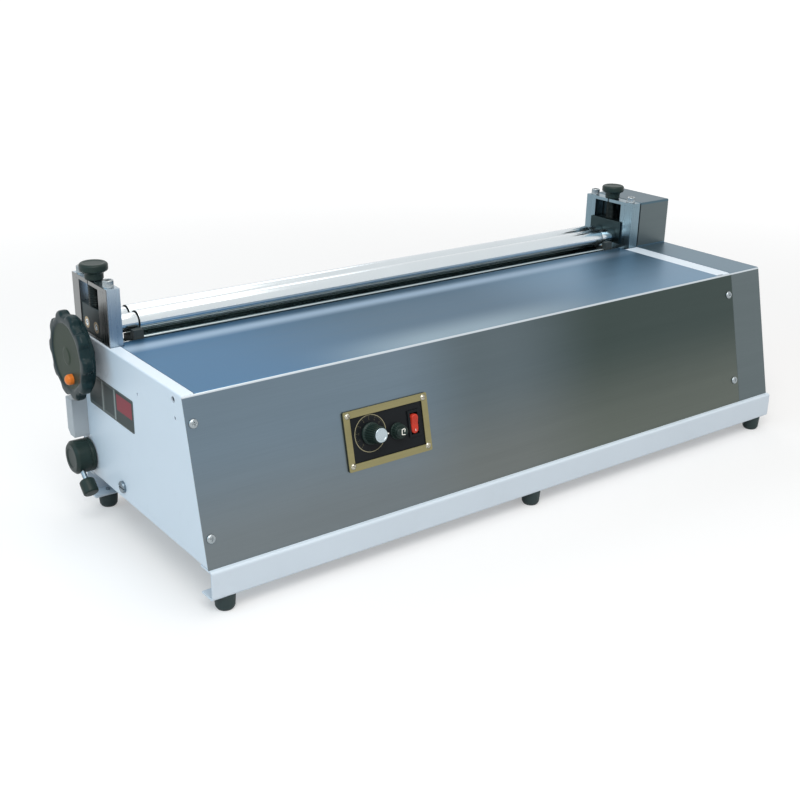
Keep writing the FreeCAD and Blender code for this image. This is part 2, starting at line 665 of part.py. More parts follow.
def front_cover():
    """Slanted front and table, bent from one sheet, with a window for the panel."""
    wall = COVER_WALL
    back, lip = TABLE_BACK_Y, TABLE_LEVEL - TABLE_LIP
    outer = [(COVER_FOOT_Y, RAIL_TOP), (COVER_TOP_Y, TABLE_LEVEL), (back, TABLE_LEVEL), (back, lip)]
    inner = [(back - wall, lip), (back - wall, TABLE_LEVEL - wall),
             (slope_y(TABLE_LEVEL - wall, wall), TABLE_LEVEL - wall), (slope_y(RAIL_TOP, wall), RAIL_TOP)]
    shape = prism_x(outer + inner, 0, PLATE_SPAN)
    shape = shape.makeFillet(COVER_BEND, edges_along_x(shape, outer[1:3]))
    shape = shape.makeFillet(COVER_BEND - wall, edges_along_x(shape, inner[1:3]))
    start = slope_y(TABLE_LEVEL - COVER_BEND, wall)
    deep = lip - OVERRUN
    for x0, x1 in ((-OVERRUN, FLANGE_WIDTH + TABLE_EDGE_GAP),
                   (PLATE_SPAN - RIGHT_TOP_FLANGE_WIDTH - TABLE_EDGE_GAP, PLATE_SPAN + OVERRUN)):
        shape = shape.cut(box(x0, x1, start, back + OVERRUN, deep, TABLE_LEVEL + OVERRUN))
    notch = POST_FRONT_Y - POST_NOTCH_GAP
    shape = shape.cut(box(0, LEFT_POST_X + POST_WIDTH + POST_NOTCH_GAP, notch, back + OVERRUN,
                          deep, TABLE_LEVEL + OVERRUN))
    margin = PANEL_WINDOW_MARGIN
    window = box(PANEL_CENTRE_X - PANEL_WIDTH / 2 + margin, PANEL_CENTRE_X + PANEL_WIDTH / 2 - margin,
                 PANEL_CENTRE_S - PANEL_HEIGHT / 2 + margin, PANEL_CENTRE_S + PANEL_HEIGHT / 2 - margin,
                 -OVERRUN, OVERRUN)
    cuts = [window]
    cuts += [rod_z(PAN_SHANK_RADIUS + HOLE_CLEARANCE, -OVERRUN, OVERRUN, x, height)
             for x in (COVER_SCREW_INSET_X, PLATE_SPAN - COVER_SCREW_INSET_X)
             for height in COVER_SCREW_HEIGHTS]
    cuts += [rod_z(DOME_SHANK_RADIUS + HOLE_CLEARANCE, -OVERRUN, OVERRUN, x, s)
             for x, s in panel_screw_places()]
    for cut in cuts:
        shape = shape.cut(on_slope(cut))
    return shape


def rear_screw_heights():
    """Heights of the rear cover's screws."""
    return (RAIL_TOP + REAR_SCREW_INSET, REAR_COVER_TOP - REAR_SCREW_INSET)


def rear_cover():
    """The plain sheet that closes the back under the rollers."""
    shape = box(0, PLATE_SPAN, PLATE_REAR_Y, PLATE_REAR_Y + REAR_COVER_WALL, RAIL_TOP, REAR_COVER_TOP)
    for x in (COVER_SCREW_INSET_X, PLATE_SPAN - COVER_SCREW_INSET_X):
        for z in rear_screw_heights():
            shape = shape.cut(rod_y(PAN_SHANK_RADIUS + HOLE_CLEARANCE, PLATE_REAR_Y - OVERRUN,
                                    PLATE_REAR_Y + OVERRUN, x, z))
    return shape


def pan_screw():
    """A pan-head screw with its seat at zero, pointing down."""
    head = rod_z(PAN_HEAD_RADIUS, 0, PAN_HEAD_HEIGHT, 0, 0)
    head = head.makeFillet(PAN_CROWN_RADIUS, edges_at(head, 2, PAN_HEAD_HEIGHT))
    return head.fuse(rod_z(PAN_SHANK_RADIUS, -PAN_SHANK_LENGTH, 0, 0, 0))


def stand_at(shape, point, direction):
    """Turns a shape drawn about +Z towards a direction and moves it to a point."""
    turn = FreeCAD.Rotation(V(0, 0, 1), direction)
    return shape.transformed(FreeCAD.Placement(point, turn).toMatrix(), True)


def cover_screws():
    """All pan-head screws of the front, rear and end covers."""
    screws = []
    for x in (COVER_SCREW_INSET_X, PLATE_SPAN - COVER_SCREW_INSET_X):
        for height in COVER_SCREW_HEIGHTS:
            point = V(x, COVER_FOOT_Y, RAIL_TOP) + SLOPE_UP * height
            screws.append(stand_at(pan_screw(), point, SLOPE_OUT))
        for z in rear_screw_heights():
            screws.append(stand_at(pan_screw(), V(x, PLATE_REAR_Y + REAR_COVER_WALL, z), V(0, 1, 0)))
    for y, z in cover_stud_places():
        screws.append(stand_at(pan_screw(), V(RAIL_LENGTH, y, z), V(1, 0, 0)))
    return group(screws)


# Right end covers, their studs and the power inlet

def cover_stud_places():
    """The (y, z) places of the studs that carry the two right-hand covers."""
    rear = PLATE_REAR_Y - COVER_STUD_REAR_INSET
    places = [(COVER_STUD_FRONT_Y, z) for z in COVER_STUD_FRONT_HEIGHTS]
    places += [(rear, z) for z in COVER_STUD_HEIGHTS]
    places.append((LEG_CENTRES[1], GEAR_COVER_STUD_Z))
    return places


def cover_outline(inset):
    """The end cover's outline, the same slanted profile as the body."""
    low, high = RAIL_TOP + inset, TABLE_LEVEL - inset
    return [(slope_y(low, inset), low), (slope_y(high, inset), high),
            (PLATE_REAR_Y - inset, high), (PLATE_REAR_Y - inset, low)]


def inlet_box(margin, y0, y1):
    """The power inlet's block, grown by a margin in width and height."""
    middle = (END_COVER_X + RAIL_LENGTH) / 2
    return box(middle - INLET_WIDTH / 2 - margin, middle + INLET_WIDTH / 2 + margin, y0, y1,
               INLET_Z - INLET_HEIGHT / 2 - margin, INLET_Z + INLET_HEIGHT / 2 + margin)


def end_cover():
    """The lower right cover, open towards the plate and open upward into the gear cover."""
    wall = END_COVER_WALL
    shape = prism_x(cover_outline(0), END_COVER_X, RAIL_LENGTH)
    outer = edges_along_x(shape, cover_outline(0)[1:3]) + edges_at(shape, 0, RAIL_LENGTH)
    shape = shape.makeFillet(PLATE_BEND, outer)
    shape = shape.cut(prism_x(cover_outline(wall), END_COVER_X - OVERRUN, RAIL_LENGTH - wall))
    inside = PLATE_BEND + wall
    shape = shape.cut(box(END_COVER_X - OVERRUN, RAIL_LENGTH - inside, POST_FRONT_Y + PLATE_BEND,
                          PLATE_REAR_Y - inside, TABLE_LEVEL - wall - OVERRUN, TABLE_LEVEL + OVERRUN))
    shape = shape.cut(inlet_box(HOLE_CLEARANCE, PLATE_REAR_Y - OVERRUN, PLATE_REAR_Y + OVERRUN))
    for y, z in cover_stud_places()[:-1]:
        shape = shape.cut(rod_x(PAN_SHANK_RADIUS + HOLE_CLEARANCE, RAIL_LENGTH - OVERRUN,
                                RAIL_LENGTH + OVERRUN, y, z))
    return shape


def gear_cover():
    """The upper box over the press rollers' gears, open below."""
    wall = END_COVER_WALL
    y0, y1 = POST_FRONT_Y, PLATE_REAR_Y
    shape = box(END_COVER_X, RAIL_LENGTH, y0, y1, TABLE_LEVEL, CAP_TOP)
    soft = edges_at(shape, 2, CAP_TOP) + edges_at(shape, 0, RAIL_LENGTH)
    upper = [edge for edge in soft if edge.BoundBox.ZMax > TABLE_LEVEL + TOLERANCE]
    shape = shape.makeFillet(PLATE_BEND, upper)
    shape = shape.cut(box(END_COVER_X + wall, RAIL_LENGTH - wall, y0 + wall, y1 - wall,
                          TABLE_LEVEL - OVERRUN, CAP_TOP - wall))
    window = box(END_COVER_X - OVERRUN, END_COVER_X + OVERRUN, y0 + GEAR_COVER_WINDOW_FRONT,
                 y1 - GEAR_COVER_WINDOW_FRONT, TABLE_LEVEL - OVERRUN, GEAR_COVER_WINDOW_TOP)
    shape = shape.cut(window)
    y, z = cover_stud_places()[-1]
    shape = shape.cut(rod_x(COVER_STUD_RADIUS + HOLE_CLEARANCE, END_COVER_X - OVERRUN,
                            END_COVER_X + OVERRUN, y, z))
    return shape.cut(rod_x(PAN_SHANK_RADIUS + HOLE_CLEARANCE, RAIL_LENGTH - OVERRUN,
                           RAIL_LENGTH + OVERRUN, y, z))


def gear_studs():
    """Studs that carry the end covers, and the headed stud that the idler turns on."""
    studs = []
    inner = RAIL_LENGTH - END_COVER_WALL
    for index, (y, z) in enumerate(cover_stud_places()):
        start = PLATE_SPAN if index < len(cover_stud_places()) - 1 else RIGHT_PLATE_X
        stud = rod_x(COVER_STUD_RADIUS, start, inner, y, z)
        studs.append(stud.cut(rod_x(PAN_SHANK_RADIUS + HOLE_CLEARANCE, inner - PAN_SHANK_LENGTH - SEAT_GAP,
                                    inner + OVERRUN, y, z)))
    idler_end = GEAR_X + GEAR_WIDTH + SEAT_GAP
    shank = rod_x(IDLER_STUD_RADIUS, RIGHT_PLATE_X - IDLER_STUD_SINK, idler_end, IDLER_Y, IDLER_Z)
    spacer = rod_x(IDLER_STUD_HEAD_RADIUS, PLATE_SPAN, GEAR_X - SEAT_GAP, IDLER_Y, IDLER_Z)
    head = rod_x(IDLER_STUD_HEAD_RADIUS, idler_end, idler_end + IDLER_STUD_HEAD_HEIGHT, IDLER_Y, IDLER_Z)
    studs.append(shank.multiFuse([spacer, head]))
    return group(studs)


def power_inlet():
    """A three-pin appliance inlet in the back of the end cover."""
    shape = inlet_box(0, PLATE_REAR_Y - INLET_DEPTH, PLATE_REAR_Y)
    shape = shape.fuse(inlet_box(INLET_FLANGE, PLATE_REAR_Y, PLATE_REAR_Y + PLATE_REAR_INSET))
    shape = shape.cut(inlet_box(-INLET_WALL, PLATE_REAR_Y - INLET_CAVITY_DEPTH, PLATE_REAR_Y + OVERRUN))
    middle = (END_COVER_X + RAIL_LENGTH) / 2
    half = INLET_PIN_WIDTH / 2
    low, high = INLET_Z - half, INLET_Z + half
    for shift, z in ((-INLET_PIN_SPACING, low), (0, high), (INLET_PIN_SPACING, low)):
        x = middle + shift
        pin = box(x - half, x + half, PLATE_REAR_Y - INLET_CAVITY_DEPTH, PLATE_REAR_Y - INLET_WALL,
                  z - INLET_PIN_WIDTH, z + INLET_PIN_WIDTH)
        shape = shape.fuse(pin)
    return shape


# Posts, caps and the frame's screws

def post_screw_ys():
    """Where the two screws of a post stand, front to back."""
    return (POST_FRONT_Y + POST_SCREW_INSET, PLATE_REAR_Y - POST_SCREW_INSET)


def left_post():
    """A machined post: an open slot above for the sliding block, a bore below for the glue roller."""
    x0, x1 = LEFT_POST_X, LEFT_POST_X + POST_WIDTH
    shape = box(x0, x1, POST_FRONT_Y, PLATE_REAR_Y, POST_BOTTOM, POST_TOP)
    slot = box(x0 - OVERRUN, x1 + OVERRUN, SLOT_FRONT_Y, SLOT_BACK_Y, SLOT_FLOOR, POST_TOP + OVERRUN)
    shape = shape.cut(slot)
    shape = shape.cut(rod_x(GLUE_BUSH_RADIUS + RUNNING_FIT, x0 - OVERRUN, x1 + OVERRUN, GLUE_Y, GLUE_Z))
    middle = x0 + POST_WIDTH / 2
    for y in LEG_CENTRES:
        shape = shape.cut(rod_z(CAP_SCREW_SHANK_RADIUS + HOLE_CLEARANCE,
                                POST_TOP - CAP_SCREW_SHANK_LENGTH - SEAT_GAP, POST_TOP + OVERRUN, middle, y))
    for y in post_screw_ys():
        shape = shape.cut(rod_x(FRAME_SCREW_SHANK_RADIUS + HOLE_CLEARANCE, x0 - OVERRUN,
                                x1, y, POST_SCREW_HEIGHT))
        shape = shape.cut(rod_x(FRAME_SCREW_HEAD_RADIUS + HOLE_CLEARANCE, x1 - POST_SCREW_SINK,
                                x1 + OVERRUN, y, POST_SCREW_HEIGHT))
    return shape.cut(rod_x(DAM_STUD_RADIUS + RUNNING_FIT, x1 - DAM_STUD_SINK, x1 + OVERRUN,
                           DAM_FRONT_Y + DAM_HORN_WIDTH / 2, DAM_STUD_Z))


def right_post():
    """The right post, which also holds the end of the idler's stud."""
    bore = rod_x(IDLER_STUD_RADIUS + RUNNING_FIT, RIGHT_PLATE_X - IDLER_STUD_SINK - SEAT_GAP,
                 RIGHT_PLATE_X + OVERRUN, IDLER_Y, IDLER_Z)
    return mirrored(left_post()).cut(bore)


def cap_plate():
    """The plate that closes the slot and holds the threaded spindle."""
    x0, x1 = LEFT_POST_X, LEFT_POST_X + POST_WIDTH
    middle = (x0 + x1) / 2
    shape = box(x0, x1, POST_FRONT_Y, PLATE_REAR_Y, POST_TOP, CAP_TOP)
    shape = shape.cut(rod_z(SPINDLE_RADIUS + RUNNING_FIT, POST_TOP - OVERRUN,
                            CAP_TOP + OVERRUN, middle, GLUE_Y))
    for y in LEG_CENTRES:
        shape = shape.cut(rod_z(CAP_SCREW_SHANK_RADIUS + HOLE_CLEARANCE, POST_TOP - OVERRUN,
                                CAP_TOP + OVERRUN, middle, y))
    return shape


def cap_screw(x, y):
    """A socket-head screw standing on a cap plate."""
    top = CAP_TOP + CAP_SCREW_HEAD_HEIGHT
    head = rod_z(CAP_SCREW_HEAD_RADIUS, CAP_TOP, top, x, y)
    head = head.makeChamfer(CAP_SCREW_EDGE_BREAK, edges_at(head, 2, top))
    corners = []
    for i in range(CAP_SCREW_SOCKET_SIDES):
        turn = math.radians(FULL_TURN * i / CAP_SCREW_SOCKET_SIDES)
        corners.append(V(x + CAP_SCREW_SOCKET_RADIUS * math.cos(turn),
                         y + CAP_SCREW_SOCKET_RADIUS * math.sin(turn), top - CAP_SCREW_SOCKET_DEPTH))
    outline = Part.Face(Part.makePolygon(corners + corners[:1]))
    socket = outline.extrude(V(0, 0, CAP_SCREW_SOCKET_DEPTH + OVERRUN))
    shank = rod_z(CAP_SCREW_SHANK_RADIUS, CAP_TOP - CAP_SCREW_SHANK_LENGTH, CAP_TOP, x, y)
    return head.cut(socket).fuse(shank)


def frame_screws():
    """Screws of the posts, sunk in their inner faces, and of the gearbox."""
    screws = []
    for y in post_screw_ys():
        seat = LEFT_POST_X + POST_WIDTH - POST_SCREW_SINK
        head = rod_x(FRAME_SCREW_HEAD_RADIUS, seat, seat + FRAME_SCREW_HEAD_HEIGHT, y, POST_SCREW_HEIGHT)
        screw = head.fuse(rod_x(FRAME_SCREW_SHANK_RADIUS, 0, seat, y, POST_SCREW_HEIGHT))
        screws += [screw, mirrored(screw)]
    for y, z in motor_screw_places():
        tip = PLATE_SPAN + FRAME_SCREW_HEAD_HEIGHT - SEAT_GAP
        head = rod_x(FRAME_SCREW_HEAD_RADIUS, PLATE_SPAN, tip, y, z)
        shank = rod_x(FRAME_SCREW_SHANK_RADIUS, PLATE_SPAN - MOTOR_SHAFT_DEPTH, PLATE_SPAN, y, z)
        screws.append(head.fuse(shank))
    return group(screws)


def tie_bar():
    """The round bar that holds the side plates apart."""
    shape = rod_x(TIE_BAR_RADIUS, PLATE_WALL, RIGHT_PLATE_X, TIE_BAR_Y, TIE_BAR_Z)
    depth = TIE_SCREW_SHANK_LENGTH + SEAT_GAP
    for x0, x1 in ((0, depth), (PLATE_SPAN - depth, PLATE_SPAN)):
        shape = shape.cut(rod_x(TIE_SCREW_SHANK_RADIUS + HOLE_CLEARANCE, x0, x1, TIE_BAR_Y, TIE_BAR_Z))
    return shape


def tie_bar_screw():
    """The large slotted screw that shows on the left plate."""
    head = rod_x(TIE_SCREW_HEAD_RADIUS, -TIE_SCREW_HEAD_HEIGHT, 0, TIE_BAR_Y, TIE_BAR_Z)
    head = head.makeFillet(TIE_SCREW_SLOT_DEPTH, edges_at(head, 0, -TIE_SCREW_HEAD_HEIGHT))
    reach = TIE_SCREW_HEAD_RADIUS + OVERRUN
    head = head.cut(box(-TIE_SCREW_HEAD_HEIGHT - OVERRUN, TIE_SCREW_SLOT_DEPTH - TIE_SCREW_HEAD_HEIGHT,
                        TIE_BAR_Y - reach, TIE_BAR_Y + reach,
                        TIE_BAR_Z - TIE_SCREW_SLOT_WIDTH / 2, TIE_BAR_Z + TIE_SCREW_SLOT_WIDTH / 2))
    return head.fuse(rod_x(TIE_SCREW_SHANK_RADIUS, 0, TIE_SCREW_SHANK_LENGTH, TIE_BAR_Y, TIE_BAR_Z))


def shaft_bushes():
    """Plain bushes of the glue roller's shaft and of the lever's cross shaft."""
    glue = rod_x(GLUE_BUSH_RADIUS, LEFT_POST_X, LEFT_POST_X + POST_WIDTH, GLUE_Y, GLUE_Z)
    glue = glue.cut(rod_x(GLUE_SHAFT_RADIUS + RUNNING_FIT, -OVERRUN, POST_WIDTH + OVERRUN, GLUE_Y, GLUE_Z))
    lever = rod_x(LEVER_BUSH_RADIUS, 0, FLANGE_WIDTH, LEVER_Y, LEVER_Z)
    lever = lever.cut(rod_x(LIFT_SHAFT_RADIUS + RUNNING_FIT, -OVERRUN, FLANGE_WIDTH + OVERRUN,
                            LEVER_Y, LEVER_Z))
    return group([glue, mirrored(glue), lever, mirrored(lever)])


# Press rollers, blocks and adjusters

def slide_block():
    """The left block that carries both press rollers, with a lip that runs on the post."""
    y0, y1 = SLOT_FRONT_Y + SLIDE_GAP, SLOT_BACK_Y - SLIDE_GAP
    shape = box(BLOCK_OUTER_X, BLOCK_INNER_X, y0, y1, BLOCK_BOTTOM, BLOCK_TOP)
    lip = box(LEFT_POST_X + POST_WIDTH + SEAT_GAP, BLOCK_INNER_X, SLOT_FRONT_Y - BLOCK_LIP_WIDTH,
              SLOT_BACK_Y + BLOCK_LIP_WIDTH, BLOCK_BOTTOM, BLOCK_TOP)
    shape = shape.fuse(lip).removeSplitter()
    shape = shape.makeChamfer(BLOCK_EDGE_BREAK, edges_at(shape, 2, BLOCK_TOP))
    for y in PRESS_YS:
        shape = shape.cut(rod_x(PRESS_BUSH_RADIUS + RUNNING_FIT, 0, BLOCK_INNER_X + OVERRUN, y, PRESS_Z))
    middle = LEFT_POST_X + POST_WIDTH / 2
    return shape.cut(rod_z(SPINDLE_END_RADIUS + RUNNING_FIT, BLOCK_TOP - SPINDLE_END_LENGTH - SEAT_GAP,
                           BLOCK_TOP + OVERRUN, middle, GLUE_Y))


def slide_bushes():
    """The four bronze bushes of the press rollers."""
    bushes = []
    for y in PRESS_YS:
        bush = rod_x(PRESS_BUSH_RADIUS, BLOCK_OUTER_X, BLOCK_INNER_X, y, PRESS_Z)
        bush = bush.cut(rod_x(PRESS_JOURNAL_RADIUS + RUNNING_FIT, 0, BLOCK_INNER_X + OVERRUN, y, PRESS_Z))
        bushes += [bush, mirrored(bush)]
    return group(bushes)


def press_roller(y, gear_end):
    """A press roller: polished face, collars at both ends and journals."""
    left, right = ROLLER_FACE_INSET, FACE_RIGHT_X
    profile = [(BLOCK_OUTER_X, 0), (BLOCK_OUTER_X, PRESS_JOURNAL_RADIUS),
               (COLLAR_LEFT_X, PRESS_JOURNAL_RADIUS), (COLLAR_LEFT_X, PRESS_COLLAR_RADIUS),
               (left, PRESS_COLLAR_RADIUS), (left, PRESS_RADIUS),
               (right, PRESS_RADIUS), (right, PRESS_COLLAR_RADIUS),
               (PLATE_SPAN - COLLAR_LEFT_X, PRESS_COLLAR_RADIUS),
               (PLATE_SPAN - COLLAR_LEFT_X, PRESS_JOURNAL_RADIUS),
               (gear_end, PRESS_JOURNAL_RADIUS), (gear_end, 0)]
    return turned_x(profile, y, PRESS_Z)


def knob(x):
    """A moulded adjuster knob: flared neck, thin disc and dished top."""
    low = KNOB_BOTTOM
    high = low + KNOB_HEIGHT
    disc = high - KNOB_DISC_THICKNESS
    profile = [(low, KNOB_BORE_RADIUS), (low, KNOB_NECK_RADIUS), (low + KNOB_NECK_HEIGHT, KNOB_NECK_RADIUS),
               (disc, KNOB_RADIUS), (high, KNOB_RADIUS), (high, KNOB_DISH_RADIUS),
               (high - KNOB_DISH_DEPTH, KNOB_DISH_RADIUS), (high - KNOB_DISH_DEPTH, 0),
               (low + KNOB_BORE_DEPTH, 0), (low + KNOB_BORE_DEPTH, KNOB_BORE_RADIUS)]
    shape = turned_z(profile, x, GLUE_Y)
    rim = [edge for edge in edges_at(shape, 2, high) if edge.BoundBox.XLength > 2 * KNOB_RADIUS - TOLERANCE]
    return shape.makeFillet(KNOB_EDGE_ROUND, rim)


def spindle(x):
    """The threaded spindle: end journal in the block, thread in the cap, tang in the knob."""
    profile = [(BLOCK_TOP - SPINDLE_END_LENGTH, 0), (BLOCK_TOP - SPINDLE_END_LENGTH, SPINDLE_END_RADIUS),
               (BLOCK_TOP + SEAT_GAP, SPINDLE_END_RADIUS), (BLOCK_TOP + SEAT_GAP, SPINDLE_RADIUS),
               (KNOB_BOTTOM, SPINDLE_RADIUS), (KNOB_BOTTOM, KNOB_BORE_RADIUS - RUNNING_FIT),
               (KNOB_BOTTOM + KNOB_BORE_DEPTH - SEAT_GAP, KNOB_BORE_RADIUS - RUNNING_FIT),
               (KNOB_BOTTOM + KNOB_BORE_DEPTH - SEAT_GAP, 0)]
    return turned_z(profile, x, GLUE_Y)


# Doctor blade and end dams

def doctor_blade():
    """A bar across the machine with a thin edge that nearly meets the glue roller."""
    back = BLADE_Y + BLADE_BAR_WIDTH
    tip = GLUE_Y - GLUE_RADIUS - BLADE_ROLLER_GAP
    half = BLADE_EDGE_THICKNESS / 2
    outline = [(BLADE_Y, BLADE_BOTTOM), (back, BLADE_BOTTOM), (back, GLUE_Z - half), (tip, GLUE_Z - half),
               (tip, GLUE_Z), (back, GLUE_Z + half), (back, BLADE_TOP), (BLADE_Y, BLADE_TOP)]
    shape = prism_x(outline, ROLLER_FACE_INSET, FACE_RIGHT_X)
    tops = edges_along_x(shape, [(BLADE_Y, BLADE_TOP), (back, BLADE_TOP)])
    return shape.makeFillet(BLADE_TOP_ROUND, tops)


def end_dam():
    """The left nylon dam that keeps glue on the roller, with a notch for the shaft."""
    x1 = ROLLER_FACE_INSET - DAM_SIDE_GAP
    x0 = x1 - DAM_THICKNESS
    horn = DAM_FRONT_Y + DAM_HORN_WIDTH
    outline = [(DAM_FRONT_Y, DAM_BOTTOM), (DAM_REAR_Y, DAM_BOTTOM), (DAM_REAR_Y, DAM_STEP_Z),
               (horn, DAM_STEP_Z), (horn, DAM_TOP), (DAM_FRONT_Y, DAM_TOP)]
    shape = prism_x(outline, x0, x1)
    shape = shape.cut(rod_x(GLUE_SHAFT_RADIUS + BLADE_ROLLER_GAP, x0 - OVERRUN, x1 + OVERRUN, GLUE_Y, GLUE_Z))
    return shape.cut(rod_x(DAM_STUD_RADIUS + RUNNING_FIT, x0 - OVERRUN, x0 + DAM_STUD_SINK + SEAT_GAP,
                           DAM_FRONT_Y + DAM_HORN_WIDTH / 2, DAM_STUD_Z))


def dam_stud():
    """The short stud between the left post and its dam."""
    x1 = ROLLER_FACE_INSET - DAM_SIDE_GAP - DAM_THICKNESS + DAM_STUD_SINK
    return rod_x(DAM_STUD_RADIUS, LEFT_POST_X + POST_WIDTH - DAM_STUD_SINK, x1,
                 DAM_FRONT_Y + DAM_HORN_WIDTH / 2, DAM_STUD_Z)


# Glue roller, hand wheel and gears

def glue_roller():
    """The glue roller, turned from one bar, with the hand wheel's seat on the left."""
    start = -WHEEL_FRONT_REACH + WHEEL_DISH_DEPTH
    seat = -WHEEL_HUB_REACH
    end = GEAR_END_X + SEAT_GAP
    profile = [(start, 0), (start, WHEEL_SEAT_RADIUS), (seat, WHEEL_SEAT_RADIUS), (seat, GLUE_SHAFT_RADIUS),
               (ROLLER_FACE_INSET, GLUE_SHAFT_RADIUS), (ROLLER_FACE_INSET, GLUE_RADIUS),
               (FACE_RIGHT_X, GLUE_RADIUS), (FACE_RIGHT_X, GLUE_SHAFT_RADIUS),
               (end, GLUE_SHAFT_RADIUS), (end, 0)]
    return turned_x(profile, GLUE_Y, GLUE_Z)


def handwheel():
    """A lobed hand wheel: arcs out and in round the rim, dished face, back flange and hub."""
    front = -WHEEL_FRONT_REACH
    middle_radius = (WHEEL_LOBE_RADIUS + WHEEL_VALLEY_RADIUS) / 2
    step = FULL_TURN / WHEEL_LOBES

    def rim_point(radius, angle):
        turn = math.radians(angle)
        return V(front, GLUE_Y + radius * math.cos(turn), GLUE_Z + radius * math.sin(turn))

    arcs = []
    for i in range(WHEEL_LOBES):
        lobe = i * step
        ends = [rim_point(middle_radius, lobe + shift * step / 4) for shift in (-1, 1, 3)]
        arcs.append(Part.Arc(ends[0], rim_point(WHEEL_LOBE_RADIUS, lobe), ends[1]).toShape())
        arcs.append(Part.Arc(ends[1], rim_point(WHEEL_VALLEY_RADIUS, lobe + step / 2), ends[2]).toShape())
    rim = Part.Face(Part.Wire(arcs)).extrude(V(WHEEL_RIM_THICKNESS, 0, 0))
    rim = rim.makeFillet(WHEEL_EDGE_ROUND, edges_at(rim, 0, front))
    dish = rod_x(WHEEL_DISH_RADIUS, front - OVERRUN, front + WHEEL_DISH_DEPTH, GLUE_Y, GLUE_Z)
    rim_back = front + WHEEL_RIM_THICKNESS
    flange_back = rim_back + WHEEL_BACK_THICKNESS
    flange = rod_x(WHEEL_VALLEY_RADIUS, rim_back, flange_back, GLUE_Y, GLUE_Z)
    hub = rod_x(WHEEL_HUB_RADIUS, flange_back, -WHEEL_HUB_REACH, GLUE_Y, GLUE_Z)
    bore = rod_x(WHEEL_SEAT_RADIUS + RUNNING_FIT, front - OVERRUN, OVERRUN, GLUE_Y, GLUE_Z)
    return rim.cut(dish).multiFuse([flange, hub]).cut(bore)


def wheel_button():
    """The domed index button on the wheel's face."""
    seat = -WHEEL_FRONT_REACH + WHEEL_DISH_DEPTH
    tip = seat - BUTTON_HEIGHT - WHEEL_DISH_DEPTH
    shape = rod_x(BUTTON_RADIUS, tip, seat, GLUE_Y - BUTTON_OFFSET_Y, GLUE_Z - BUTTON_OFFSET_Z)
    return shape.makeFillet(BUTTON_CROWN_RADIUS, edges_at(shape, 0, tip))


def involute(angle):
    """The involute function of an angle in radians."""
    return math.tan(angle) - angle


def gear(teeth, bore_radius, x0, x1, y, z, phase):
    """A spur gear with involute flanks. The phase is the angle of one tooth's middle."""
    pitch = GEAR_MODULE * teeth / 2
    base = pitch * math.cos(math.radians(PRESSURE_ANGLE))
    tip = pitch + GEAR_MODULE
    root = pitch - GEAR_DEDENDUM_FACTOR * GEAR_MODULE
    half_pitch = math.pi / (2 * teeth) - GEAR_BACKLASH / (2 * pitch)

    def half_width(radius):
        slant = math.acos(min(1, base / max(radius, base)))
        return half_pitch + involute(math.radians(PRESSURE_ANGLE)) - involute(slant)

    flank = [root, max(root, base), pitch, tip]
    rising = [(radius, -half_width(radius)) for radius in flank]
    tooth = rising + [(radius, -turn) for radius, turn in reversed(rising)]
    outline = []
    for i in range(teeth):
        middle = math.radians(phase) + 2 * math.pi * i / teeth
        for radius, turn in tooth:
            point = (y + radius * math.cos(middle + turn), z + radius * math.sin(middle + turn))
            if not outline or math.dist(point, outline[-1]) > TOLERANCE:
                outline.append(point)
    shape = prism_x(outline, x0, x1)
    return shape.cut(rod_x(bore_radius, x0 - OVERRUN, x1 + OVERRUN, y, z))


def meshed_phase(teeth, driver_teeth, driver_phase, direction):
    """The phase that puts a gap of this gear on a tooth of its driver."""
    opposite = direction + FULL_TURN / 2
    return opposite + FULL_TURN / (2 * teeth) - (driver_phase - direction) * driver_teeth / teeth


def press_gear(y, x0):
    """The gear of one press roller, in mesh with the glue roller's wide gear."""
    direction = math.degrees(math.atan2(PRESS_Z - GLUE_Z, y - GLUE_Y))
    phase = meshed_phase(PRESS_TEETH, GLUE_TEETH, 0, direction)
    return gear(PRESS_TEETH, PRESS_JOURNAL_RADIUS + RUNNING_FIT, x0, x0 + GEAR_WIDTH, y, PRESS_Z, phase)


def idler_phase():
    """The idler's phase, in mesh with the glue roller's gear."""
    return meshed_phase(IDLER_TEETH, GLUE_TEETH, 0, IDLER_ANGLE)


def motor_pinion():
    """The pinion in one piece with the gearbox's output shaft."""
    phase = meshed_phase(PINION_TEETH, IDLER_TEETH, idler_phase(), MOTOR_ANGLE)
    end = GEAR_X + GEAR_WIDTH
    shape = gear(PINION_TEETH, PINION_SHAFT_RADIUS, GEAR_X, end, MOTOR_Y, MOTOR_Z, phase)
    shaft = rod_x(PINION_SHAFT_RADIUS, RIGHT_PLATE_X - MOTOR_SHAFT_DEPTH, end, MOTOR_Y, MOTOR_Z)
    return shape.fuse(shaft)


# Motor

def motor_screw_places():
    """The (y, z) places of the gearbox's four screws."""
    reach = GEARBOX_SIZE / 2 - MOTOR_SCREW_INSET
    return [(MOTOR_Y + a * reach, MOTOR_Z + b * reach) for a in (-1, 1) for b in (-1, 1)]


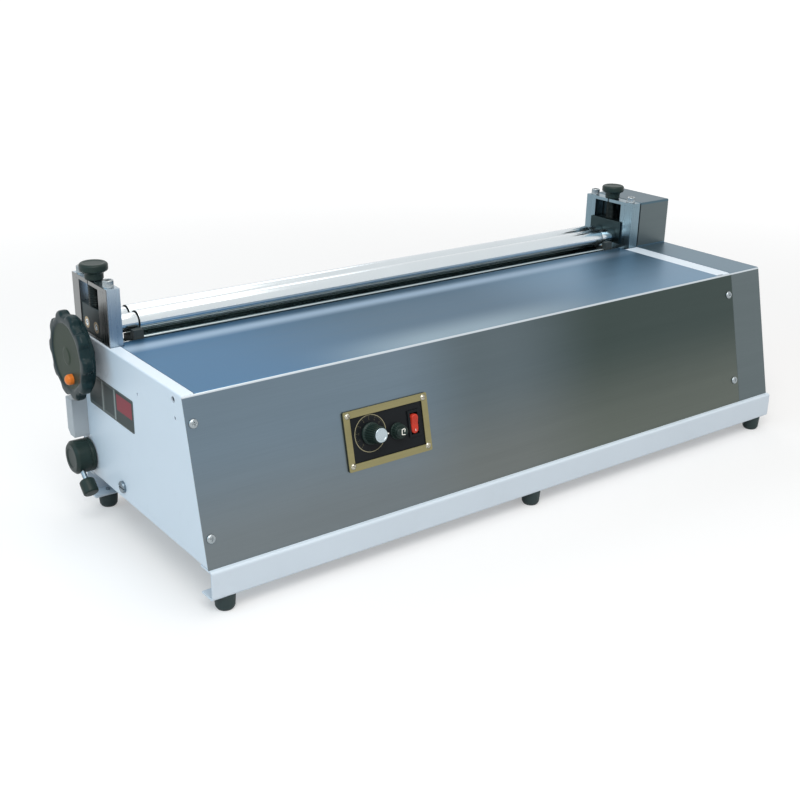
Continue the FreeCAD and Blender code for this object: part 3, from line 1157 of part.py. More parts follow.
def drive_motor():
    """The motor and its gearbox, held against the inside of the right plate."""
    half = GEARBOX_SIZE / 2
    x1 = RIGHT_PLATE_X
    x0 = x1 - GEARBOX_LENGTH
    gearbox = box(x0, x1, MOTOR_Y - half, MOTOR_Y + half, MOTOR_Z - half, MOTOR_Z + half)
    corners = edges_along_x(gearbox, [(MOTOR_Y + a * half, MOTOR_Z + b * half)
                                      for a in (-1, 1) for b in (-1, 1)])
    gearbox = gearbox.makeFillet(MOTOR_EDGE_ROUND, corners)
    can = rod_x(MOTOR_RADIUS, x0 - MOTOR_LENGTH, x0, MOTOR_Y, MOTOR_Z)
    can = can.makeFillet(MOTOR_EDGE_ROUND, edges_at(can, 0, x0 - MOTOR_LENGTH))
    boss = rod_x(MOTOR_BOSS_RADIUS, x1, PLATE_SPAN, MOTOR_Y, MOTOR_Z)
    shape = gearbox.multiFuse([can, boss])
    shape = shape.cut(rod_x(PINION_SHAFT_RADIUS + RUNNING_FIT, x1 - MOTOR_SHAFT_DEPTH - SEAT_GAP,
                            PLATE_SPAN + OVERRUN, MOTOR_Y, MOTOR_Z))
    for y, z in motor_screw_places():
        shape = shape.cut(rod_x(FRAME_SCREW_SHANK_RADIUS + HOLE_CLEARANCE,
                                PLATE_SPAN - MOTOR_SHAFT_DEPTH - SEAT_GAP, PLATE_SPAN, y, z))
    return shape


# Tray, its lifting gear and the lever

def glue_tray():
    """An open trough under the glue roller, notched at both ends for the shaft."""
    x0 = LEFT_POST_X + POST_WIDTH + TRAY_POST_GAP
    x1 = PLATE_SPAN - x0
    low = TRAY_FLOOR - TRAY_WALL
    outer = box(x0, x1, TRAY_FRONT_Y, TRAY_BACK_Y, low, TRAY_RIM)
    outer = outer.makeFillet(TRAY_CORNER, edges_along_x(outer, [(TRAY_FRONT_Y, low), (TRAY_BACK_Y, low)]))
    front, back = TRAY_FRONT_Y + TRAY_WALL, TRAY_BACK_Y - TRAY_WALL
    inner = box(x0 + TRAY_WALL, x1 - TRAY_WALL, front, back, TRAY_FLOOR, TRAY_RIM + OVERRUN)
    corners = edges_along_x(inner, [(front, TRAY_FLOOR), (back, TRAY_FLOOR)])
    inner = inner.makeFillet(TRAY_CORNER - TRAY_WALL, corners)
    shape = outer.cut(inner)
    deep = TRAY_RIM - TRAY_NOTCH_DEPTH + TRAY_NOTCH_RADIUS
    for side in (x0, x1 - TRAY_WALL):
        a, b = side - TOLERANCE, side + TRAY_WALL + TOLERANCE
        shape = shape.cut(rod_x(TRAY_NOTCH_RADIUS, a, b, GLUE_Y, deep))
        shape = shape.cut(box(a, b, GLUE_Y - TRAY_NOTCH_RADIUS, GLUE_Y + TRAY_NOTCH_RADIUS,
                              deep, TRAY_RIM + OVERRUN))
    return shape


def lift_rods():
    """The two round-ended rods under the tray that ride on the cams."""
    rods = []
    low = LEVER_Z + CAM_LOW_RADIUS + CAM_ROD_GAP
    for x in LIFT_ROD_XS:
        shape = rod_z(LIFT_ROD_RADIUS, low + LIFT_ROD_RADIUS, TRAY_FLOOR - TRAY_WALL, x, LEVER_Y)
        rods.append(shape.fuse(Part.makeSphere(LIFT_ROD_RADIUS, V(x, LEVER_Y, low + LIFT_ROD_RADIUS))))
    return group(rods)


def tray_guide():
    """The left guide arm: a foot on the side plate and an arm with the rod's bore."""
    rod_at = LIFT_ROD_XS[0]
    y0, y1 = LEVER_Y - GUIDE_WIDTH / 2, LEVER_Y + GUIDE_WIDTH / 2
    if y1 > PLATE_REAR_Y - PLATE_WALL:
        y1 = PLATE_REAR_Y - PLATE_WALL
    arm = box(PLATE_WALL, rod_at + GUIDE_OVERHANG, y0, y1, GUIDE_BOTTOM, GUIDE_BOTTOM + GUIDE_THICKNESS)
    foot = box(PLATE_WALL, PLATE_WALL + GUIDE_FOOT_WALL, y0, y1,
               GUIDE_BOTTOM - GUIDE_FOOT_HEIGHT, GUIDE_BOTTOM + GUIDE_THICKNESS)
    bore = rod_z(LIFT_ROD_RADIUS + RUNNING_FIT, GUIDE_BOTTOM - OVERRUN,
                 GUIDE_BOTTOM + GUIDE_THICKNESS + OVERRUN, rod_at, LEVER_Y)
    return arm.fuse(foot).removeSplitter().cut(bore)


def cam_outline():
    """A spiral that lifts the rods evenly as the lever turns a quarter, then falls back to a round heel."""
    points = []
    for i in range(CAM_STEPS):
        share = i / (CAM_STEPS - 1)
        points.append((CAM_START_ANGLE + LEVER_SWEEP * share, CAM_LOW_RADIUS + TRAY_LIFT * share))
    heel = FULL_TURN + CAM_START_ANGLE - CAM_BACK_ANGLE
    for i in range(CAM_HEEL_STEPS):
        points.append((CAM_BACK_ANGLE + heel * i / CAM_HEEL_STEPS, CAM_LOW_RADIUS))
    turns = [(math.radians(angle), radius) for angle, radius in points]
    return [(LEVER_Y + radius * math.cos(turn), LEVER_Z + radius * math.sin(turn)) for turn, radius in turns]


def lift_shaft():
    """The cross shaft with its two cams."""
    end = PLATE_SPAN - SEAT_GAP
    shape = rod_x(LIFT_SHAFT_RADIUS, -DRUM_PLATE_GAP - LEVER_ROD_SINK, end, LEVER_Y, LEVER_Z)
    cams = [prism_x(cam_outline(), x - CAM_THICKNESS / 2, x + CAM_THICKNESS / 2) for x in LIFT_ROD_XS]
    return shape.multiFuse(cams)


def lever_direction():
    """The way the lever points from its shaft."""
    turn = math.radians(LEVER_ANGLE)
    return V(0, math.cos(turn), math.sin(turn))


def lever_foot():
    """The point on the shaft's axis where the lever's rod would meet it."""
    return V(-DRUM_REACH + LEVER_ROD_OFFSET, LEVER_Y, LEVER_Z)


def lever_drum():
    """The drum outside the left plate that the lever is screwed into."""
    x0, x1 = -DRUM_REACH, -DRUM_PLATE_GAP
    shape = rod_x(DRUM_RADIUS, x0, x1, LEVER_Y, LEVER_Z)
    shape = shape.makeChamfer(DRUM_CHAMFER, edges_at(shape, 0, x0))
    shape = shape.cut(rod_x(LIFT_SHAFT_RADIUS + RUNNING_FIT, x1 - LEVER_ROD_SINK - SEAT_GAP, x1 + OVERRUN,
                            LEVER_Y, LEVER_Z))
    way = lever_direction()
    socket = Part.makeCylinder(LEVER_ROD_RADIUS + RUNNING_FIT, DRUM_RADIUS,
                               lever_foot() + way * (DRUM_RADIUS - LEVER_ROD_SINK), way)
    return shape.cut(socket)


def lever_rod():
    """The steel rod from the drum into the lever's knob."""
    way = lever_direction()
    start = DRUM_RADIUS - LEVER_ROD_SINK + SEAT_GAP
    end = LEVER_LENGTH - LEVER_KNOB_LENGTH + LEVER_KNOB_BORE_DEPTH - SEAT_GAP
    return Part.makeCylinder(LEVER_ROD_RADIUS, end - start, lever_foot() + way * start, way)


def lever_knob():
    """The cylindrical grip on the lever's end."""
    way = lever_direction()
    start = lever_foot() + way * (LEVER_LENGTH - LEVER_KNOB_LENGTH)
    shape = rod_z(LEVER_KNOB_RADIUS, 0, LEVER_KNOB_LENGTH, 0, 0)
    rims = edges_at(shape, 2, 0) + edges_at(shape, 2, LEVER_KNOB_LENGTH)
    shape = shape.makeFillet(LEVER_KNOB_ROUND, rims)
    shape = shape.cut(rod_z(LEVER_ROD_RADIUS + RUNNING_FIT, 0, LEVER_KNOB_BORE_DEPTH, 0, 0))
    return stand_at(shape, start, way)


def side_box():
    """The small steel box on the left plate above the lever's drum."""
    back, front = PLATE_REAR_Y, PLATE_REAR_Y - SIDE_BOX_DEPTH
    low, high, cut = SIDE_BOX_BOTTOM, SIDE_BOX_TOP, SIDE_BOX_CHAMFER
    shape = prism_x([(front, low), (back - cut, low), (back, low + cut), (back, high), (front, high)],
                    -SIDE_BOX_REACH, 0)
    corners = edges_along_x(shape, [(front, high), (back, high)]) + edges_at(shape, 0, -SIDE_BOX_REACH)
    return shape.makeFillet(SIDE_BOX_EDGE_ROUND, corners)


# Control panel

def panel_screw_places():
    """The panel's four screws as (x, up the slope)."""
    dx = PANEL_WIDTH / 2 - PANEL_SCREW_INSET
    ds = PANEL_HEIGHT / 2 - PANEL_SCREW_INSET
    return [(PANEL_CENTRE_X + a * dx, PANEL_CENTRE_S + b * ds) for a in (-1, 1) for b in (-1, 1)]


def panel_block(margin, low, high):
    """A block the size of the panel less a margin, at two heights off the sheet."""
    dx, ds = PANEL_WIDTH / 2 - margin, PANEL_HEIGHT / 2 - margin
    return box(PANEL_CENTRE_X - dx, PANEL_CENTRE_X + dx, PANEL_CENTRE_S - ds, PANEL_CENTRE_S + ds, low, high)


def upright_edges(shape):
    """The edges parallel to Z of a shape drawn flat."""
    return [edge for edge in shape.Edges
            if edge.BoundBox.XLength < TOLERANCE and edge.BoundBox.YLength < TOLERANCE]


def rocker_block(margin, low, high):
    """A block the size of the rocker switch less a margin."""
    dx, ds = ROCKER_WIDTH / 2 - margin, ROCKER_HEIGHT / 2 - margin
    return box(ROCKER_X - dx, ROCKER_X + dx, ROCKER_S - ds, ROCKER_S + ds, low, high)


def panel_face():
    """The dark face plate that carries the controls."""
    shape = panel_block(0, 0, FACE_THICKNESS)
    shape = shape.makeFillet(PANEL_CORNER, upright_edges(shape))
    for x, s in panel_screw_places():
        shape = shape.cut(rod_z(DOME_SHANK_RADIUS + HOLE_CLEARANCE, -OVERRUN, OVERRUN, x, s))
    for x, s in ((SPEED_X, SPEED_S), (SELECTOR_X, SELECTOR_S)):
        shape = shape.cut(rod_z(CONTROL_NECK_RADIUS + HOLE_CLEARANCE, -OVERRUN, OVERRUN, x, s))
    return on_slope(shape.cut(rocker_block(ROCKER_FRAME - HOLE_CLEARANCE, -OVERRUN, OVERRUN)))


def panel_bezel():
    """The brass-coloured frame round the panel."""
    low, high = FACE_THICKNESS, FACE_THICKNESS + BEZEL_THICKNESS
    shape = panel_block(0, low, high)
    shape = shape.makeFillet(PANEL_CORNER, upright_edges(shape))
    shape = shape.cut(panel_block(BEZEL_BORDER, low - OVERRUN, high + OVERRUN))
    for x, s in panel_screw_places():
        shape = shape.cut(rod_z(DOME_SHANK_RADIUS + HOLE_CLEARANCE, -OVERRUN, OVERRUN, x, s))
    return on_slope(shape)


def panel_screws():
    """The four domed screws in the frame's corners."""
    seat = FACE_THICKNESS + BEZEL_THICKNESS
    screws = []
    for x, s in panel_screw_places():
        crown = (DOME_RADIUS ** 2 + DOME_HEIGHT ** 2) / (2 * DOME_HEIGHT)
        ball = Part.makeSphere(crown, V(x, s, seat + DOME_HEIGHT - crown))
        head = ball.common(rod_z(DOME_RADIUS, seat, seat + OVERRUN, x, s))
        screws.append(on_slope(head.fuse(rod_z(DOME_SHANK_RADIUS, seat - DOME_SHANK_LENGTH, seat, x, s))))
    return group(screws)


def panel_controls():
    """The bodies of the speed control and the selector, behind the face plate."""
    bodies = []
    for x, s in ((SPEED_X, SPEED_S), (SELECTOR_X, SELECTOR_S)):
        body = rod_z(CONTROL_BODY_RADIUS, -CONTROL_BODY_DEPTH, 0, x, s)
        neck = rod_z(CONTROL_NECK_RADIUS, 0, CONTROL_NECK_HEIGHT, x, s)
        floor = CONTROL_NECK_HEIGHT - CONTROL_SPINDLE_DEPTH - SEAT_GAP
        bore = rod_z(CONTROL_SPINDLE_RADIUS + RUNNING_FIT, floor, CONTROL_NECK_HEIGHT + OVERRUN, x, s)
        bodies.append(on_slope(body.fuse(neck).cut(bore)))
    return group(bodies)


def speed_knob():
    """A skirted, ribbed knob that narrows to its metal cap."""
    low = FACE_THICKNESS + SEAT_GAP
    skirt = low + SPEED_SKIRT_HEIGHT
    high = low + SPEED_HEIGHT
    inside = CONTROL_NECK_HEIGHT + SEAT_GAP
    hollow = CONTROL_NECK_RADIUS + SEAT_GAP
    waist = (SPEED_SKIRT_RADIUS + SPEED_TOP_RADIUS) / 2
    profile = [(low, hollow), (low, SPEED_SKIRT_RADIUS), (low + SPEED_SKIRT_HEIGHT / 2, SPEED_SKIRT_RADIUS),
               (skirt, waist), (high, SPEED_TOP_RADIUS), (high, 0), (inside, 0), (inside, hollow)]
    shape = turned_z(profile, SPEED_X, SPEED_S)
    for i in range(SPEED_RIBS):
        turn = 2 * math.pi * i / SPEED_RIBS
        x = SPEED_X + waist * math.cos(turn)
        s = SPEED_S + waist * math.sin(turn)
        shape = shape.cut(rod_z(SPEED_RIB_RADIUS, skirt, high + OVERRUN, x, s))
    spindle_low = CONTROL_NECK_HEIGHT - CONTROL_SPINDLE_DEPTH
    return on_slope(shape.fuse(rod_z(CONTROL_SPINDLE_RADIUS, spindle_low, inside, SPEED_X, SPEED_S)))


def speed_knob_cap():
    """The turned metal cap on top of the speed knob."""
    low = FACE_THICKNESS + SEAT_GAP + SPEED_HEIGHT
    return on_slope(rod_z(SPEED_CAP_RADIUS, low, low + SPEED_CAP_HEIGHT, SPEED_X, SPEED_S))


def selector_knob():
    """The small round selector with a raised grip bar."""
    low = FACE_THICKNESS + SEAT_GAP
    high = low + SELECTOR_HEIGHT - SELECTOR_GRIP_HEIGHT
    inside = CONTROL_NECK_HEIGHT + SEAT_GAP
    hollow = CONTROL_NECK_RADIUS + SEAT_GAP
    profile = [(low, hollow), (low, SELECTOR_RADIUS), (high, SELECTOR_TOP_RADIUS), (high, 0),
               (inside, 0), (inside, hollow)]
    shape = turned_z(profile, SELECTOR_X, SELECTOR_S)
    half = SELECTOR_GRIP_WIDTH / 2
    grip = box(SELECTOR_X - SELECTOR_TOP_RADIUS, SELECTOR_X + SELECTOR_TOP_RADIUS,
               SELECTOR_S - half, SELECTOR_S + half, high, low + SELECTOR_HEIGHT)
    grip = grip.common(rod_z(SELECTOR_TOP_RADIUS, high, low + SELECTOR_HEIGHT, SELECTOR_X, SELECTOR_S))
    stem_low = CONTROL_NECK_HEIGHT - CONTROL_SPINDLE_DEPTH
    stem = rod_z(CONTROL_SPINDLE_RADIUS, stem_low, inside, SELECTOR_X, SELECTOR_S)
    return on_slope(shape.multiFuse([grip, stem]))


def rocker_pivot_height():
    """How far the rocker's pivot stands off the slanted sheet."""
    return FACE_THICKNESS - ROCKER_PIVOT_DEPTH


def rocker_housing():
    """The switch body with its raised frame, open for the button and its pivot pin."""
    top = FACE_THICKNESS + ROCKER_FRAME_HEIGHT
    shape = rocker_block(ROCKER_FRAME, -ROCKER_BODY_DEPTH, FACE_THICKNESS)
    shape = shape.fuse(rocker_block(0, FACE_THICKNESS, top)).removeSplitter()
    pivot = rocker_pivot_height()
    shape = shape.cut(rocker_block(ROCKER_WELL_WALL, pivot - ROCKER_THICKNESS, top + OVERRUN))
    pin = Part.makeCylinder(ROCKER_PIN_RADIUS + RUNNING_FIT, ROCKER_WIDTH - 2 * ROCKER_FRAME,
                            V(ROCKER_X - ROCKER_WIDTH / 2 + ROCKER_FRAME, ROCKER_S, pivot), V(1, 0, 0))
    return on_slope(shape.cut(pin))


def rocker_button():
    """The rocker's button: two faces at a shallow angle on one pivot, lower end pressed in."""
    inside = ROCKER_WELL_WALL + ROCKER_SIDE_GAP
    pivot = rocker_pivot_height()
    half = ROCKER_HEIGHT / 2 - inside - ROCKER_END_GAP
    tilt = math.tan(math.radians(ROCKER_TRAVEL / 2))
    crest = ROCKER_THICKNESS + half * tilt
    low = ROCKER_PIN_RADIUS
    edge = pivot + crest - ROCKER_THICKNESS / 2
    outline = [(ROCKER_S - half, pivot + crest), (ROCKER_S, pivot + ROCKER_THICKNESS),
               (ROCKER_S + half, pivot + crest), (ROCKER_S + half, edge), (ROCKER_S + low, pivot - low),
               (ROCKER_S - low, pivot - low), (ROCKER_S - half, edge)]
    x0 = ROCKER_X - ROCKER_WIDTH / 2 + inside
    x1 = ROCKER_X + ROCKER_WIDTH / 2 - inside
    shape = prism_x(outline, x0, x1)
    pin_x0 = ROCKER_X - ROCKER_WIDTH / 2 + ROCKER_FRAME + SEAT_GAP
    pin_x1 = ROCKER_X + ROCKER_WIDTH / 2 - ROCKER_FRAME - SEAT_GAP
    shape = shape.fuse(rod_x(ROCKER_PIN_RADIUS, pin_x0, pin_x1, ROCKER_S, pivot))
    shape.rotate(V(ROCKER_X, ROCKER_S, pivot), V(1, 0, 0), ROCKER_TRAVEL / 2)
    return on_slope(shape)


def control_board():
    """The speed controller's board with its heat sink, on four posts behind the panel."""
    x = PANEL_CENTRE_X
    s = PANEL_CENTRE_S
    dx, ds = BOARD_WIDTH / 2, BOARD_HEIGHT / 2
    back = -BOARD_DEPTH
    shape = box(x - dx, x + dx, s - ds, s + ds, back - BOARD_THICKNESS, back)
    wide, tall = HEATSINK_WIDTH / 2, HEATSINK_HEIGHT / 2
    under = back - BOARD_THICKNESS
    parts = [box(x - wide, x + wide, s - tall, s + tall, under - HEATSINK_DEPTH, under)]
    for a in (-1, 1):
        for b in (-1, 1):
            parts.append(rod_z(BOARD_POST_RADIUS, back, -COVER_WALL, x + a * (dx - BOARD_POST_INSET),
                               s + b * (ds - BOARD_POST_SHIFT)))
    return on_slope(shape.multiFuse(parts))


# Everything together

def make_nodes():
    """All nodes by name."""
    left_x, right_x = POST_CENTRES
    front_gear_x = GEAR_X + GEAR_STEP
    foot_row = foot_places()
    cap = cap_plate()
    block = slide_block()
    dam = end_dam()
    stud = dam_stud()
    guide = tray_guide()
    tie_screw = tie_bar_screw()
    return {
        "front_rail": rail(0, RAIL_DEPTH),
        "rear_rail": rail(BASE_DEPTH, BASE_DEPTH - RAIL_DEPTH),
        "base_plate": base_plate(),
        "rubber_feet": group([rubber_foot(x, y) for x, y in foot_row]),
        "foot_screws": group([foot_screw(x, y) for x, y in foot_row]),
        "left_side_plate": left_side_plate(),
        "right_side_plate": right_side_plate(),
        "front_cover": front_cover(),
        "rear_cover": rear_cover(),
        "cover_screws": cover_screws(),
        "end_cover": end_cover(),
        "gear_cover": gear_cover(),
        "gear_studs": gear_studs(),
        "left_post": left_post(),
        "right_post": right_post(),
        "cap_plates": group([cap, mirrored(cap)]),
        "cap_screws": group([cap_screw(x, y) for x in POST_CENTRES for y in LEG_CENTRES]),
        "frame_screws": frame_screws(),
        "tie_bar": tie_bar(),
        "tie_bar_screws": group([tie_screw, mirrored(tie_screw)]),
        "side_box": side_box(),
        "shaft_bushes": shaft_bushes(),
        "doctor_blade": doctor_blade(),
        "end_dams": group([dam, mirrored(dam)]),
        "dam_studs": group([stud, mirrored(stud)]),
        "tray_guides": group([guide, mirrored(guide)]),
        "drive_motor": drive_motor(),
        "power_inlet": power_inlet(),
        "panel_face": panel_face(),
        "panel_bezel": panel_bezel(),
        "panel_screws": panel_screws(),
        "panel_controls": panel_controls(),
        "rocker_housing": rocker_housing(),
        "control_board": control_board(),
        "slide_blocks": group([block, mirrored(block)]),
        "slide_bushes": slide_bushes(),
        "front_press_roller": press_roller(PRESS_YS[0], front_gear_x + GEAR_WIDTH + SEAT_GAP),
        "rear_press_roller": press_roller(PRESS_YS[1], GEAR_X + GEAR_WIDTH + SEAT_GAP),
        "front_press_gear": press_gear(PRESS_YS[0], front_gear_x),
        "rear_press_gear": press_gear(PRESS_YS[1], GEAR_X),
        "left_knob": knob(left_x),
        "left_spindle": spindle(left_x),
        "right_knob": knob(right_x),
        "right_spindle": spindle(right_x),
        "glue_roller": glue_roller(),
        "glue_gear": gear(GLUE_TEETH, GLUE_SHAFT_RADIUS + RUNNING_FIT, GEAR_X, GEAR_END_X,
                          GLUE_Y, GLUE_Z, 0),
        "handwheel": handwheel(),
        "wheel_button": wheel_button(),
        "idler_gear": gear(IDLER_TEETH, IDLER_STUD_RADIUS + RUNNING_FIT, GEAR_X, GEAR_X + GEAR_WIDTH,
                           IDLER_Y, IDLER_Z, idler_phase()),
        "motor_pinion": motor_pinion(),
        "glue_tray": glue_tray(),
        "lift_rods": lift_rods(),
        "lift_shaft": lift_shaft(),
        "lever_drum": lever_drum(),
        "lever_rod": lever_rod(),
        "lever_knob": lever_knob(),
        "speed_knob": speed_knob(),
        "speed_knob_cap": speed_knob_cap(),
        "selector_knob": selector_knob(),
        "rocker_button": rocker_button(),
    }


os.makedirs("parts", exist_ok=True)
for node_name, node_shape in make_nodes().items():
    save(node_name, node_shape)
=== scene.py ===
"""Dresses the bench roller gluing machine: fine surfaces for what is turned, moulded or threaded,
a finish for every piece, and the stage with its lamps and camera."""

import json
import math

import bmesh
import bpy
import numpy as np
from mathutils import Matrix, Vector


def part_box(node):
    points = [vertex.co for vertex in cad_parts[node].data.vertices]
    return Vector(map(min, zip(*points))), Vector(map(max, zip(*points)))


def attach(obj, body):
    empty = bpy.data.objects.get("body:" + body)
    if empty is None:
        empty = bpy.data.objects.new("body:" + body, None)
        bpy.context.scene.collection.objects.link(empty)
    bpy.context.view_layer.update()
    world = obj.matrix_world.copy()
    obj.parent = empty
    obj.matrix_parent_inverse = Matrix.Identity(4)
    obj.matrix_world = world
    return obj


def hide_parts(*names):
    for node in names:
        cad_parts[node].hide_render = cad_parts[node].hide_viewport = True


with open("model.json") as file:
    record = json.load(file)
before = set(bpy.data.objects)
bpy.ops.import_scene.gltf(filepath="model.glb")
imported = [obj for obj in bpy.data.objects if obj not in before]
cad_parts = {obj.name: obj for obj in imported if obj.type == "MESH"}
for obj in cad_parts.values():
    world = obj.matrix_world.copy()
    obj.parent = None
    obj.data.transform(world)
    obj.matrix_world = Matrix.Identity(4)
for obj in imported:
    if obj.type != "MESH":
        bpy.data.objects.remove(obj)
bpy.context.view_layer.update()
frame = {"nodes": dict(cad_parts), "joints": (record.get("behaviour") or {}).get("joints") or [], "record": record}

bl_info = {
    "name": "Bench Gluing Machine",
    "version": (1, 0, 0),
    "blender": (4, 5, 0),
    "location": "View3D > Sidebar > Gluing Machine",
    "description": "Builds the surfaces, finishes and stage of a bench roller gluing machine",
    "category": "Add Mesh",
}

MM = 0.001
JOINTS = {joint["name"]: joint for joint in frame["joints"]}
SLOTS = {entry["node"]: entry["material_slot"] for entry in frame["record"]["subparts"]}
PLATE_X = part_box("left_side_plate")[0].x
PLATE_FAR_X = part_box("right_side_plate")[1].x
X, Y, Z = range(3)
AXIS_X = Vector((1, 0, 0))
AXIS_Y = Vector((0, 1, 0))
AXIS_Z = Vector((0, 0, 1))
SLOPE_OUT = Vector(JOINTS["speed_turn"]["axis"])
SEGMENTS = 96
FINE_SEGMENTS = 128
SHARP_DEGREES = 32.0
# Noise cells in a metre, and how much of each colour is left under grime
PEEL_SCALE = 900.0
SKIN_SCALE = 1500.0
MOTTLE_SCALE = 60.0
GRIME_SHARES = (0.80, 0.79, 0.76)


# Shapes worked out as arrays

class Spot:
    """A place with its own axes: origin, along, and two directions across it."""

    def __init__(self, origin, along, across):
        self.origin = np.array(origin, float)
        self.along = np.array(along, float)
        self.across = np.array(across, float)
        self.third = np.cross(self.along, self.across)

    def points(self, along, across, third):
        """origin + along * a + across * b + third * c, for whole arrays."""
        parts = [np.asarray(v, float)[..., None] * axis
                 for v, axis in ((along, self.along), (across, self.across), (third, self.third))]
        return self.origin + parts[0] + parts[1] + parts[2]


def softened(profile, bend, steps=4):
    """Each inner corner P of a profile becomes a quadratic arc: (1-t)^2 A + 2t(1-t) P + t^2 B,
    where A and B lie on its two sides, at most bend and at most half a side away."""
    points = np.array(profile, float)
    rows = [points[:1]]
    t = np.linspace(0, 1, steps + 1)[:, None]
    for before, corner, after in zip(points[:-2], points[1:-1], points[2:]):
        ends = []
        for other in (before, after):
            side = np.linalg.norm((other - corner)[:2])
            ends.append(corner + (other - corner) * min(0.5, bend / max(side, 1e-9)))
        rows.append((1 - t) ** 2 * ends[0] + 2 * t * (1 - t) * corner + t ** 2 * ends[1])
    rows.append(points[-1:])
    return np.vstack(rows)


def turned_points(profile, spot, segments, radius):
    """Rings about the spot's axis: at each profile row (along, r) and angle a the point is
    along, r cos a, r sin a. A radius function may change r by row and angle."""
    rows = np.array(profile, float)
    angle = np.linspace(0, 2 * math.pi, segments, endpoint=False)[None, :]
    along = np.broadcast_to(rows[:, :1], (len(rows), segments))
    r = np.broadcast_to(rows[:, 1:2], (len(rows), segments))
    if radius is not None:
        along, r = radius(rows, angle, along, r)
    return spot.points(along, r * np.cos(angle), r * np.sin(angle))


def ring_faces(rows, segments):
    """Quads between neighbouring rings, closed round each ring."""
    i = np.arange(rows - 1)[:, None] * segments
    j = np.arange(segments)[None, :]
    k = (j + 1) % segments
    quads = np.stack([i + j, i + k, i + segments + k, i + segments + j], axis=-1)
    return quads.reshape(-1, 4)


def new_mesh(name, points, faces, sharp=SHARP_DEGREES):
    """A mesh from arrays: doubles merged, so that poles close, and normals turned outwards."""
    mesh = bpy.data.meshes.new(name)
    mesh.from_pydata(np.asarray(points).reshape(-1, 3).tolist(), [], np.asarray(faces).tolist())
    work = bmesh.new()
    work.from_mesh(mesh)
    bmesh.ops.remove_doubles(work, verts=work.verts, dist=1e-7)
    bmesh.ops.dissolve_degenerate(work, edges=work.edges, dist=1e-8)
    bmesh.ops.recalc_face_normals(work, faces=work.faces)
    work.to_mesh(mesh)
    work.free()
    mesh.shade_smooth()
    mesh.set_sharp_from_angle(angle=math.radians(sharp))
    return mesh


def turned_mesh(name, profile, spot, segments=SEGMENTS, radius=None, sharp=SHARP_DEGREES):
    """One turned surface as a mesh."""
    points = turned_points(profile, spot, segments, radius)
    return new_mesh(name, points, ring_faces(points.shape[0], segments), sharp)


def merged_mesh(name, meshes):
    """Several meshes as one."""
    work = bmesh.new()
    for mesh in meshes:
        work.from_mesh(mesh)
        bpy.data.meshes.remove(mesh)
    mesh = bpy.data.meshes.new(name)
    work.to_mesh(mesh)
    work.free()
    mesh.shade_smooth()
    mesh.set_sharp_from_angle(angle=math.radians(SHARP_DEGREES))
    return mesh


def slab_points(spot, centre, size, low, high, corner):
    """Rings of a plate with round corners: bottom centre, bottom edge, top edge, top centre.
    A corner point is its corner's centre plus corner radius times (cos a, sin a)."""
    corner_steps, bevel_share = 6, 0.3
    half = np.array(size) / 2 - corner
    angle = np.linspace(0, math.pi / 2, corner_steps)
    signs = ((1, 1), (-1, 1), (-1, -1), (1, -1))
    rim = np.vstack([
        np.stack([sx * half[0] + corner * np.cos(angle + i * math.pi / 2),
                  sy * half[1] + corner * np.sin(angle + i * math.pi / 2)], axis=-1)
        for i, (sx, sy) in enumerate(signs)])
    bevel = min(corner, high - low) * bevel_share
    reach = np.linalg.norm(rim, axis=1, keepdims=True)
    rings = []
    for share, inset, level in ((0, 0, low), (1, 0, low), (1, 0, high - bevel),
                                (1, bevel, high), (0, 0, high)):
        flat = rim * share * (1 - inset / reach)
        rings.append(spot.points(np.full(len(rim), level),
                                 centre[0] + flat[:, 0], centre[1] + flat[:, 1]))
    return np.stack(rings)


def slab_mesh(name, spot, centre, size, low, high, corner):
    """A thin plate with round corners. Its sizes run along the spot's two cross directions."""
    points = slab_points(spot, centre, size, low, high, corner)
    return new_mesh(name, points, ring_faces(points.shape[0], points.shape[1]))


def place(name, mesh, body, finish, node=None):
    """Links a finished mesh as a piece that rides on a body and wears a finish.
    It stands in for a CAD node where one is named, and takes that node's slot."""
    piece = bpy.data.objects.new(name, mesh)
    bpy.context.scene.collection.objects.link(piece)
    mesh.materials.clear()
    mesh.materials.append(finish_for(finish))
    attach(piece, body)
    if node:
        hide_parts(node)


def middle(node):
    """The middle of a node's box."""
    low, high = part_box(node)
    return (low + high) / 2


def along_x(node):
    """A spot on the axis of a node that is turned about X."""
    centre = middle(node)
    return Spot((0, centre.y, centre.z), AXIS_X, AXIS_Y)


def along_z(centre):
    """A spot on an upright axis through a point, with heights from the ground."""
    return Spot((centre[0], centre[1], 0), AXIS_Z, AXIS_X)


# Shader maths

class Val:
    """A shader socket that takes part in sums, differences and products."""

    def __init__(self, finish, socket):
        self.finish = finish
        self.socket = socket

    def math(self, operation, a, b):
        """One Math node on two values."""
        return self.finish.node("ShaderNodeMath", {"operation": operation}, {0: a, 1: b})

    def __add__(self, other):
        return self.math("ADD", self, other)

    __radd__ = __add__

    def __sub__(self, other):
        return self.math("SUBTRACT", self, other)

    def __rsub__(self, other):
        return self.math("SUBTRACT", other, self)

    def __mul__(self, other):
        return self.math("MULTIPLY", self, other)

    __rmul__ = __mul__

    def above(self, edge, width):
        """0 below edge, 1 above edge + width, smooth between."""
        inputs = {"Value": self, "From Min": edge, "From Max": edge + width}
        return self.finish.node("ShaderNodeMapRange", {"interpolation_type": "SMOOTHSTEP"}, inputs)


